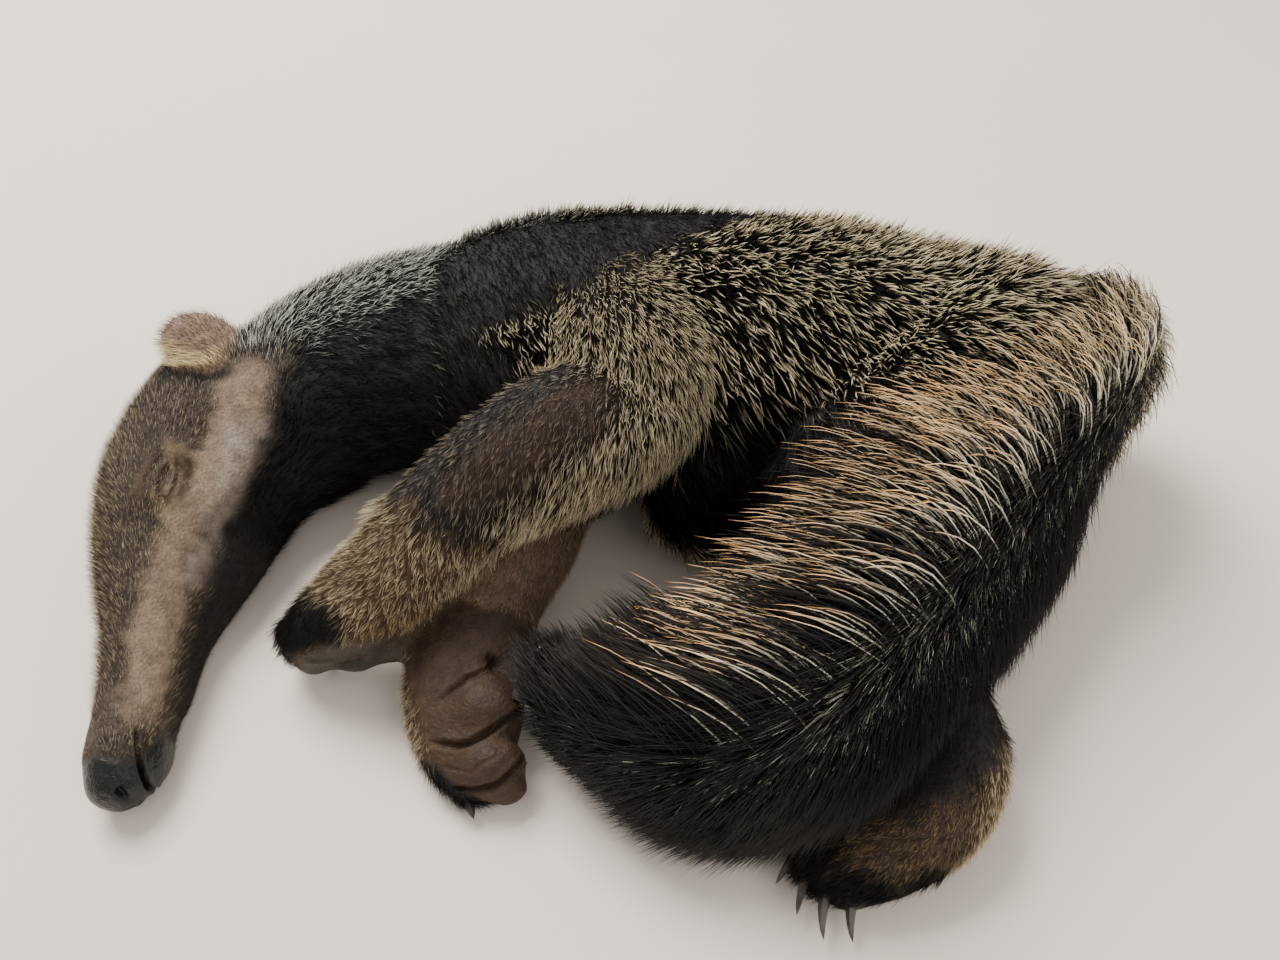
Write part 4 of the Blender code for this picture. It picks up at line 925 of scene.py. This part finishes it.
def bend_tuft(points, root, rows, start, end, length, width):
    """The tuft's points at each root of the rows, bent from the start heading to the end heading."""
    s = points[None, :, 2:]
    start, end = start[rows][:, None, :], end[rows][:, None, :]
    reach = length[rows][:, None, None]
    spine = root["co"][rows][:, None, :] + reach * (start * s + (end - start) * s**2 / 2)
    heading = unit(start + (end - start) * s)
    across = unit(np.cross(heading, root["normal"][rows][:, None, :]) + 1e-9)
    over = np.cross(across, heading)
    half = width[rows][:, None, None] / 2
    place = spine + across * points[None, :, :1] * half + over * points[None, :, 1:2] * half * TUFT_FLATNESS
    place[..., 2] = np.maximum(place[..., 2], FLOOR_ROOM)
    return place


def tufts_mesh(name, place, faces, tint, spots):
    """All the tufts as one mesh, with their colours and their patches of the skin's map."""
    count, per = place.shape[:2]
    mesh = bpy.data.meshes.new(name)
    mesh.vertices.add(count * per)
    mesh.vertices.foreach_set("co", place.astype(np.float32).ravel())
    loops = (faces[None] + (np.arange(count) * per)[:, None, None]).astype(np.int32).ravel()
    mesh.loops.add(len(loops))
    mesh.loops.foreach_set("vertex_index", loops)
    mesh.polygons.add(len(loops) // 3)
    mesh.polygons.foreach_set("loop_start", np.arange(0, len(loops), 3, dtype=np.int32))
    mesh.polygons.foreach_set("use_smooth", np.ones(len(loops) // 3, dtype=bool))
    mesh.update(calc_edges=True)
    store(mesh, "tint", "FLOAT_COLOR", rgba(tint.reshape(-1, 3)))
    layer = mesh.uv_layers.new(name="OFBake")
    spots = np.clip(spots.reshape(-1, 2)[loops], 0.0, 1.0)
    layer.data.foreach_set("uv", spots.astype(np.float32).ravel())
    return mesh


def lay_tufts(name, tuft, root, start, end, length, width, bands):
    """Copies the tuft to each root, as joined meshes.

    bands are the colours at the root, the middle and the tip, each with one row per tuft.
    """
    points, faces = tuft
    parts = max(1, math.ceil(len(root["co"]) * len(faces) / TUFT_LIMIT))
    order = np.argsort(root["co"][:, 0], kind="stable")
    patch = points[:, [0, 2]] * (PATCH_WIDTH, PATCH_LENGTH)
    t = points[None, :, 2:]
    made = []
    for k, rows in enumerate(np.array_split(order, parts)):
        place = bend_tuft(points, root, rows, start, end, length, width)
        first, middle, last = (band[rows][:, None, :] for band in bands)
        tint = np.where(t < 0.5, first + (middle - first) * t * 2, middle + (last - middle) * (t * 2 - 1))
        mesh = tufts_mesh(name, place, faces, tint, root["uv"][rows][:, None, :] + patch[None])
        piece = new_object(name if parts == 1 else f"{name}_{k + 1}", mesh)
        mesh.materials.append(fur_material("tail_hair" if name.startswith("tail") else "short_fur"))
        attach(piece, BODY)
        made.append(piece)
    return made


def jitter(rng, count, spread):
    return rng.normal(0.0, spread, (count, 3))


def vary(rng, count, low, high):
    return rng.uniform(low, high, count)


def gather(drawn, end, length, size, pull):
    """End headings that draw the tips of neighbouring tufts together into pointed clumps."""
    cells = np.floor(drawn["co"] / size).astype(np.int64)
    _, index = np.unique(cells @ np.array((73856093, 19349663, 83492791)), return_inverse=True)
    many = np.bincount(index)[:, None]

    def mean(values):
        return (np.stack([np.bincount(index, weights=c) for c in values.T], axis=1) / many)[index]

    toward = (mean(drawn["co"]) - drawn["co"]) / length[:, None]
    return unit(end * (1 - pull) + mean(end) * pull + 2.0 * pull * toward)


def lay_region(context, name, parts, tuft, clump=0.0, spread=0.18, pale=0.6):
    """Dark and pale fur of some parts, as two groups of joined tufts."""
    settings = context.scene.anteater_coat
    roots = SKIN["roots"]
    rng = np.random.default_rng(settings.seed + len(name))
    here = np.isin(roots.part, [PARTS.index(p) for p in parts]).astype(float)
    under = 0.35 + 0.65 * ramp(-0.9, -0.3, roots.normal[:, 2])
    plain = model_tuft("plain_tuft")
    made = []
    for shade in ("dark", "pale"):
        share = roots.values["share"] if shade == "pale" else 1.0 - roots.values["share"]
        drawn = roots.draw(rng, here * under * share * roots.values["density"] * settings.density)
        count = len(drawn["co"])
        if count == 0:
            continue
        lift = drawn["stand"] * vary(rng, count, 0.5, 1.5) * LIFT[shade]
        start = unit(drawn["lie"] + drawn["normal"] * lift[:, None] + jitter(rng, count, spread))
        end = drawn["lie"] + drawn["normal"] * (lift * (1 - drawn["bend"]))[:, None]
        end = unit(end + jitter(rng, count, spread * 1.4))
        length = drawn["length"] * MM * settings.length * vary(rng, count, 0.7, 1.15)
        if clump and shade == "pale":
            end = gather(drawn, end, length, clump, CLUMP_PULL)
        width = drawn["width"] * MM * vary(rng, count, 0.75, 1.2)
        tone = vary(rng, count, 0.75, 1.25)[:, None]
        dark, tip = drawn["under"] * tone, drawn["tip"] * tone
        if shade == "dark":
            bands = (drawn["hide"] * 0.7, dark, dark * 1.1)
        else:
            bands = (dark, dark * (1 - pale) + tip * pale, tip * 1.2)
        drawn["co"] = drawn["co"] - drawn["normal"] * ROOT_DEPTH
        shape = tuft if shade == "pale" else plain
        made += lay_tufts(f"{name}_{shade}", shape, drawn, start, end, length, width, bands)


def tail_place(points):
    """Where points of the tail are: station, way across from -1 to 1, face, headings and reach."""
    centre, side, up, along = tail_frames(HAIR_STATIONS)
    near = np.argmin(((points[:, None, :] - centre[None]) ** 2).sum(axis=2), axis=1)
    away = points - centre[near]
    reach = np.linalg.norm(side[near], axis=1)
    across = np.sum(away * unit(side[near]), axis=1) / (reach * CORE_SHARE)
    face = np.sign(np.sum(away * up[near], axis=1))
    return TailPlace(near / (HAIR_STATIONS - 1), across, face, unit(side[near]), along[near], reach)


def edge_share(station):
    """Hair is short at the root and at the end of the tail."""
    return (0.5 + 0.5 * ramp(0.08, 0.3, station)) * (1 - 0.55 * ramp(0.78, 1.0, station))


def rise_share(start, end):
    """How high a bent hair rises, as a share of its length."""
    rise = start[:, 2] ** 2 / (2 * np.maximum(start[:, 2] - end[:, 2], 0.05))
    return np.maximum(np.maximum(rise, (start[:, 2] + end[:, 2]) / 2), 0.05)


class TailHair:
    """Lays the tail's hair kind by kind. A kind has a shape and the bands of its colours."""

    def __init__(self, context):
        self.settings = context.scene.anteater_tail
        self.roots = SKIN["roots"]
        self.rng = np.random.default_rng(self.settings.seed)
        self.here = (self.roots.part == PARTS.index("tail")).astype(float)
        colours = context.scene.anteater_colours
        found = (np.array(getattr(colours, key)[:]) for key in TAIL_COLOURS)
        self.black, self.sooty, self.silver, self.amber, self.cream = found
        self.made = []

    def lay(self, kind, tuft, weight, count, shape, bands):
        drawn = self.roots.draw(self.rng, self.here * weight, count)
        at = tail_place(drawn["co"])
        start, end, length, width = shape(drawn, at)
        self.made += lay_tufts(f"tail_{kind}_hair", tuft, drawn, start, end, length, width, bands(at))

    def scatter(self, at, spread):
        return jitter(self.rng, len(at.station), spread)

    def chance(self, at, low, high):
        return vary(self.rng, len(at.station), low, high)

    def shades(self, colour, at, low=0.8, high=1.2):
        """The colour once per hair, darker or lighter by chance."""
        return colour[None] * self.chance(at, low, high)[:, None]

    def black_bands(self, at):
        return self.shades(self.black, at), self.shades(self.black, at), self.shades(self.black, at, 1.0, 1.8)

    def side_shape(self, drawn, at):
        lean = ramp(-0.35, 0.35, at.across)[:, None] * 2 - 1
        start = at.along * 0.75 + at.side * lean * 0.7 + drawn["normal"] * 0.3
        start = unit(start + self.scatter(at, 0.15))
        end = unit(at.along + at.side * lean * 0.4 + self.scatter(at, 0.2))
        length = self.settings.side_length * (1 - 0.45 * ramp(0.1, -0.5, at.across))
        length = length * edge_share(at.station) * self.chance(at, 0.6, 1.15)
        end = gather(drawn, end, length, *HAIR_CLUMP["side"])
        return start, end, length, HAIR_WIDTH["side"] * self.chance(at, 0.7, 1.2)

    def silver_shape(self, drawn, at):
        start, end, length, width = self.side_shape(drawn, at)
        return unit(start + drawn["normal"] * 0.2), end, length * 0.44, width * 0.54

    # Pale side hairs whose tone runs well past their colour: the brightest are painted glints on real pale
    # hairs.
    def silver_glint_bands(self, at):
        tone = 0.3 + 2.2 * self.chance(at, 0.0, 1.0)[:, None] ** 2
        return self.shades(self.black, at), self.silver * 0.3 * tone, self.silver * tone

    def low_shape(self, drawn, at):
        start = at.along * 0.85 - at.side * 0.75 + drawn["normal"] * 0.1
        start = unit(start + self.scatter(at, 0.1))
        end = unit(at.along - at.side * 0.2 + self.scatter(at, 0.12))
        short = 1 - hump(0.35, (0.3, 0.45), (0.6, 0.75), at.station)
        short = short - hump(0.6, (0.1, 0.18), (0.32, 0.42), at.station)
        length = at.reach * (1 - LOW_CORE_SHARE) * 1.25 * short * edge_share(at.station)
        length = np.maximum(length * self.chance(at, 0.5, 1.05), LOW_LENGTH)
        return start, end, length, HAIR_WIDTH["low"] * self.chance(at, 0.7, 1.2)

    def low_bands(self, at):
        pale = (self.chance(at, 0, 1) < 0.6 * (1 - ramp(0.1, 0.26, at.station)))[:, None]
        root = self.shades(self.black, at)
        middle = np.where(pale, self.cream * 0.3, self.shades(self.black, at))
        tip = np.where(pale, self.shades(self.cream, at, 0.6, 1.1), self.shades(self.black, at, 1.0, 1.8))
        return root, middle, tip

    def corner_shape(self, drawn, at):
        start = drawn["normal"] * 0.9 - at.side * 0.5 + np.array((0.35, 0.3, 0.2))
        start = unit(start + self.scatter(at, 0.25))
        end = at.along * 0.8 - at.side * 0.2 - np.array((0, 0, 0.5))
        end = unit(end + self.scatter(at, 0.35))
        length = CORNER_LENGTH * self.chance(at, 0.6, 1.2)
        end = gather(drawn, end, length, *HAIR_CLUMP["corner"])
        return start, end, length, HAIR_WIDTH["corner"] * self.chance(at, 0.7, 1.2)

    def corner_bands(self, at):
        tone = self.chance(at, 0.5, 1.1)[:, None]
        return self.shades(self.sooty, at), self.cream * 0.55 * tone, self.cream * tone

    def ridge_shape(self, drawn, at):
        far = ramp(0.35, 0.7, at.station)[:, None]
        start = at.side - at.along * (0.75 - 0.65 * far) + drawn["normal"] * 0.3
        start = unit(start + self.scatter(at, 0.08))
        end = at.side * 0.95 + at.along * (0.35 + 0.5 * far) - np.array((0, 0, 0.1))
        end = unit(end + self.scatter(at, 0.1))
        grow = (0.45 + 0.55 * ramp(0.05, 0.25, at.station)) * (1 - 0.5 * ramp(0.78, 1.0, at.station))
        to_edge = at.reach * (1 - CORE_SHARE * np.clip(at.across, -1.0, 1.0)) + self.settings.ridge_room
        length = np.minimum(self.settings.ridge_length, to_edge) * grow * self.chance(at, 0.7, 1.1)
        room = np.maximum(self.settings.hair_top - drawn["co"][:, 2], 0.004)
        length = np.minimum(length, room / rise_share(start, end))
        end = gather(drawn, end, length, *HAIR_CLUMP["ridge"])
        return start, end, length, HAIR_WIDTH["ridge"] * self.chance(at, 0.55, 1.2)

    # Real cream, silver and amber bands of the long hairs. Their tone, raised past the colour, adds a painted
    # highlight.
    def ridge_bands_and_highlights(self, at):
        st = at.station
        warm = self.chance(at, 0.25, 1.1) + 0.3 * ramp(0.3, 0.7, st) - 0.6 * (1 - ramp(0.15, 0.4, st))
        warm = np.clip(warm, 0, 1)[:, None]
        share = 0.6 - 0.25 * ramp(0.12, 0.25, st) + 0.3 * ramp(0.45, 0.6, st) + 0.35 * ramp(0.7, 0.84, st)
        dark = (self.chance(at, 0, 1) < share)[:, None]
        tip = self.cream * (1 - warm) + self.amber * 1.3 * warm
        middle = self.silver * (1 - 0.15 * warm)
        tone = self.chance(at, 0.55, 1.6)[:, None]
        root = np.where(dark, self.black, self.silver * 0.3 * tone)
        middle = np.where(dark, self.black * 1.5, middle * tone)
        return root, middle, np.where(dark, self.sooty * 1.5, tip * tone)


def make_tail_hair(context):
    """Black and pale hairs of the sides, the low edge, the corner by the rump and the long pale hairs. The
    pale side hairs and long hairs are brightened past their colour as painted glints and highlights.
    """
    hair = TailHair(context)
    settings = hair.settings
    skin_at = tail_place(hair.roots.co)
    station, across, upper = skin_at.station, skin_at.across, skin_at.face > 0
    side_tuft, curl_tuft, long_tuft = (model_tuft(name) for name in ("side_tuft", "curl_tuft", "long_tuft"))
    mostly_upper = 0.3 + 0.7 * upper
    weight = 1.0 - 0.5 * ramp(0.5, 1.0, across)
    hair.lay("side", side_tuft, weight, settings.side_hairs, hair.side_shape, hair.black_bands)
    weight = 1 - ramp(-0.75, -0.3, across)
    hair.lay("low", side_tuft, weight, settings.low_hairs, hair.low_shape, hair.low_bands)
    # Pale side hairs, mostly on the upper face, many brightened as painted glints.
    weight = (0.4 + 0.6 * ramp(-0.8, 0.1, across)) * mostly_upper * (1 - 0.85 * ramp(0.6, 0.85, station))
    hair.lay("silver", side_tuft, weight, settings.silver_hairs, hair.silver_shape, hair.silver_glint_bands)
    weight = (1 - ramp(0.14, 0.3, station)) * mostly_upper
    hair.lay("corner", curl_tuft, weight, settings.corner_hairs, hair.corner_shape, hair.corner_bands)
    weight = ramp(-0.3, 0.3, across) * (0.4 + 0.6 * upper) * (0.6 + 0.2 * (1 - ramp(0.1, 0.25, station)))
    hair.lay("ridge", long_tuft, weight, settings.ridge_hairs, hair.ridge_shape, hair.ridge_bands_and_highlights)


def socket(group, name, kind, way, value=None):
    made = group.interface.new_socket(name=name, socket_type=kind, in_out=way)
    if value is not None:
        made.default_value = value


def set_inputs(node, **values):
    """Gives the node's inputs their values, by name."""
    for name, value in values.items():
        node.inputs[name.replace("_", " ")].default_value = value
    return node


def speckle_group():
    """Shader group: fine uneven tone over a colour."""
    group = bpy.data.node_groups.get("hair_speckle")
    if group:
        return group
    group = bpy.data.node_groups.new("hair_speckle", "ShaderNodeTree")
    socket(group, "Colour", "NodeSocketColor", "INPUT", (0.5, 0.5, 0.5, 1))
    socket(group, "Scale", "NodeSocketFloat", "INPUT", 300.0)
    socket(group, "Amount", "NodeSocketFloat", "INPUT", 0.3)
    socket(group, "Colour", "NodeSocketColor", "OUTPUT")
    socket(group, "Height", "NodeSocketFloat", "OUTPUT")
    nodes, links = group.nodes, group.links
    entry, leave = nodes.new("NodeGroupInput"), nodes.new("NodeGroupOutput")
    place = nodes.new("ShaderNodeTexCoord")
    noise = set_inputs(nodes.new("ShaderNodeTexNoise"), Detail=3.0)
    tone = set_inputs(nodes.new("ShaderNodeMapRange"), From_Min=0.3, From_Max=0.7)
    low, high = nodes.new("ShaderNodeMath"), nodes.new("ShaderNodeMath")
    low.operation, high.operation = "SUBTRACT", "ADD"
    low.inputs[0].default_value = high.inputs[0].default_value = 1.0
    scale = nodes.new("ShaderNodeVectorMath")
    scale.operation = "SCALE"
    links.new(place.outputs["Object"], noise.inputs["Vector"])
    links.new(entry.outputs["Scale"], noise.inputs["Scale"])
    links.new(entry.outputs["Amount"], low.inputs[1])
    links.new(entry.outputs["Amount"], high.inputs[1])
    links.new(noise.outputs["Fac"], tone.inputs["Value"])
    links.new(low.outputs[0], tone.inputs["To Min"])
    links.new(high.outputs[0], tone.inputs["To Max"])
    links.new(entry.outputs["Colour"], scale.inputs[0])
    links.new(tone.outputs[0], scale.inputs["Scale"])
    links.new(scale.outputs[0], leave.inputs["Colour"])
    links.new(noise.outputs["Fac"], leave.inputs["Height"])
    return group


def begin_material(name):
    material = bpy.data.materials.new(name)
    material.use_nodes = True
    nodes, links = material.node_tree.nodes, material.node_tree.links
    return material, nodes, links, nodes["Principled BSDF"]


def speckle(nodes, scale, amount):
    node = nodes.new("ShaderNodeGroup")
    node.node_tree = speckle_group()
    return set_inputs(node, Scale=scale, Amount=amount)


def attribute(nodes, name):
    node = nodes.new("ShaderNodeAttribute")
    node.attribute_name = name
    return node


def speckled_material(name, colour, scale, amount, roughness):
    """A plain material with fine uneven tone."""
    material, nodes, links, shader = begin_material(name)
    tone = set_inputs(speckle(nodes, scale, amount), Colour=(*colour, 1.0))
    links.new(tone.outputs["Colour"], shader.inputs["Base Color"])
    set_inputs(shader, Roughness=roughness)
    return material


def fur_material(name):
    made = bpy.data.materials.get(name)
    if made:
        return made
    material, nodes, links, shader = begin_material(name)
    tone = speckle(nodes, scale=700.0, amount=0.25)
    links.new(attribute(nodes, "tint").outputs["Color"], tone.inputs["Colour"])
    links.new(tone.outputs["Colour"], shader.inputs["Base Color"])
    roughness, specular = FUR_SHINE[name]
    set_inputs(shader, Roughness=roughness, Specular_IOR_Level=specular)
    return material


def hide_material():
    """Hide with its markings, pores and wrinkles, glossy where it is bare."""
    material, nodes, links, shader = begin_material("hide")
    tone = speckle(nodes, scale=260.0, amount=0.3)
    pores = speckle(nodes, scale=1500.0, amount=0.2)
    place = nodes.new("ShaderNodeTexCoord")
    wrinkle = set_inputs(nodes.new("ShaderNodeTexNoise"), Scale=420.0, Detail=5.0, Distortion=1.6)
    fold = set_inputs(nodes.new("ShaderNodeBump"), Strength=0.6, Distance=0.0009)
    bump = set_inputs(nodes.new("ShaderNodeBump"), Strength=0.5, Distance=0.0003)
    rough = set_inputs(nodes.new("ShaderNodeMapRange"), To_Min=0.75, To_Max=0.28)
    links.new(place.outputs["Object"], wrinkle.inputs["Vector"])
    links.new(wrinkle.outputs["Fac"], fold.inputs["Height"])
    links.new(fold.outputs["Normal"], bump.inputs["Normal"])
    links.new(attribute(nodes, "hide").outputs["Color"], tone.inputs["Colour"])
    links.new(tone.outputs["Colour"], pores.inputs["Colour"])
    links.new(pores.outputs["Colour"], shader.inputs["Base Color"])
    links.new(pores.outputs["Height"], bump.inputs["Height"])
    links.new(bump.outputs["Normal"], shader.inputs["Normal"])
    links.new(attribute(nodes, "gloss").outputs["Fac"], rough.inputs["Value"])
    links.new(rough.outputs[0], shader.inputs["Roughness"])
    set_inputs(shader, Specular_IOR_Level=0.3)
    return material


class ANTEATER_OT_skin(bpy.types.Operator):
    """One skin over the whole body, with its markings"""

    bl_idname = "anteater.skin"
    bl_label = "Make skin"

    def execute(self, context):
        SKIN["roots"] = SkinRoots(make_skin(context))
        return {"FINISHED"}


class ANTEATER_OT_head_fur(bpy.types.Operator):
    """Short fur of the head and ears"""

    bl_idname = "anteater.head_fur"
    bl_label = "Lay head fur"

    def execute(self, context):
        tuft = model_tuft("plain_tuft")
        lay_region(context, "head_fur", ("head", "ear_left", "ear_right"), tuft, spread=0.2)
        return {"FINISHED"}


class ANTEATER_OT_body_fur(bpy.types.Operator):
    """Grizzled and black fur of the neck and trunk"""

    bl_idname = "anteater.body_fur"
    bl_label = "Lay body fur"

    def execute(self, context):
        tuft = model_tuft("body_tuft")
        lay_region(context, "neck_fur", ("neck",), tuft, spread=0.24)
        lay_region(context, "trunk_fur", ("torso",), tuft, clump=0.005, spread=0.24, pale=0.35)
        return {"FINISHED"}


class ANTEATER_OT_limb_fur(bpy.types.Operator):
    """Fur of the arms, legs and feet"""

    bl_idname = "anteater.limb_fur"
    bl_label = "Lay limb fur"

    def execute(self, context):
        tuft = model_tuft("limb_tuft")
        arms = [part for part in PARTS if part.startswith(("upper_arm", "forearm", "forepaw"))]
        legs = [part for part in PARTS if part.startswith(("thigh", "shin", "hind_foot"))]
        lay_region(context, "arm_fur", arms, tuft, clump=0.0035, spread=0.2, pale=0.35)
        lay_region(context, "leg_fur", legs, tuft, clump=0.003, spread=0.22, pale=0.4)
        return {"FINISHED"}


class ANTEATER_OT_tail_hair(bpy.types.Operator):
    """Long hair of the tail"""

    bl_idname = "anteater.tail_hair"
    bl_label = "Lay tail hair"

    def execute(self, context):
        make_tail_hair(context)
        return {"FINISHED"}


class ANTEATER_OT_claws(bpy.types.Operator):
    """Horn of the claws"""

    bl_idname = "anteater.claws"
    bl_label = "Finish claws"

    def execute(self, context):
        colour = context.scene.anteater_colours.horn
        horn = speckled_material("claw_horn", colour, scale=500.0, amount=0.4, roughness=0.3)
        for name in CLAWS:
            for slot in NODES[name].material_slots:
                slot.material = horn
        return {"FINISHED"}


def add_light(name, power):
    place, size, colour = LIGHTS[name]
    bpy.ops.object.light_add(type="AREA", location=place)
    light = bpy.context.object
    light.name = name
    light.data.size = size
    light.data.energy = power
    light.data.color = colour
    light.rotation_euler = (-Vector(place)).to_track_quat("-Z", "Y").to_euler()


class ANTEATER_OT_stage(bpy.types.Operator):
    """Pale floor, soft light and the camera"""

    bl_idname = "anteater.stage"
    bl_label = "Set stage"

    def execute(self, context):
        settings = context.scene.anteater_stage
        bpy.ops.mesh.primitive_plane_add(size=settings.floor_size, location=(0, 0, 0))
        floor = context.object
        floor.name = "floor"
        colour = settings.floor_colour
        floor.data.materials.append(
            speckled_material("pale_floor", colour, scale=6.0, amount=0.02, roughness=0.9)
        )
        add_light("key", settings.key_power)
        add_light("fill", settings.fill_power)
        world = bpy.data.worlds.new("studio")
        world.use_nodes = True
        set_inputs(world.node_tree.nodes["Background"], Color=SKY_COLOUR, Strength=settings.sky_strength)
        context.scene.world = world
        place = (*layout((0, 0, 0))[:2], settings.camera_height)
        bpy.ops.object.camera_add(location=place, rotation=(settings.camera_tilt, 0, 0))
        camera = context.object
        camera.data.sensor_width = SENSOR_WIDTH
        camera.data.lens = SENSOR_WIDTH * FOCAL_PIXELS / PHOTO_WIDTH
        camera.data.clip_start = 0.01
        context.scene.camera = camera
        return {"FINISHED"}


STEPS = (
    ANTEATER_OT_skin,
    ANTEATER_OT_head_fur,
    ANTEATER_OT_body_fur,
    ANTEATER_OT_limb_fur,
    ANTEATER_OT_tail_hair,
    ANTEATER_OT_claws,
    ANTEATER_OT_stage,
)
SETTINGS = {
    "anteater_colours": AnteaterColours,
    "anteater_skin": SkinSettings,
    "anteater_coat": CoatSettings,
    "anteater_tail": TailSettings,
    "anteater_stage": StageSettings,
}


class ANTEATER_PT_panel(bpy.types.Panel):
    """The anteater's settings and steps"""

    bl_idname = "ANTEATER_PT_panel"
    bl_label = "Giant Anteater Pup"
    bl_space_type = "VIEW_3D"
    bl_region_type = "UI"
    bl_category = "Anteater"

    def draw(self, context):
        for name, group in SETTINGS.items():
            box = self.layout.box()
            for key in group.__annotations__:
                box.prop(getattr(context.scene, name), key)
        for step in STEPS:
            self.layout.operator(step.bl_idname)


def register():
    for cls in (*SETTINGS.values(), *STEPS, ANTEATER_PT_panel):
        bpy.utils.register_class(cls)
    for name, group in SETTINGS.items():
        setattr(bpy.types.Scene, name, bpy.props.PointerProperty(type=group))


def unregister():
    for name in SETTINGS:
        delattr(bpy.types.Scene, name)
    for cls in (ANTEATER_PT_panel, *reversed(STEPS), *SETTINGS.values()):
        bpy.utils.unregister_class(cls)


def main():
    register()
    for step in STEPS:
        group, name = step.bl_idname.split(".")
        getattr(getattr(bpy.ops, group), name)()


if __name__ == "__main__":
    main()
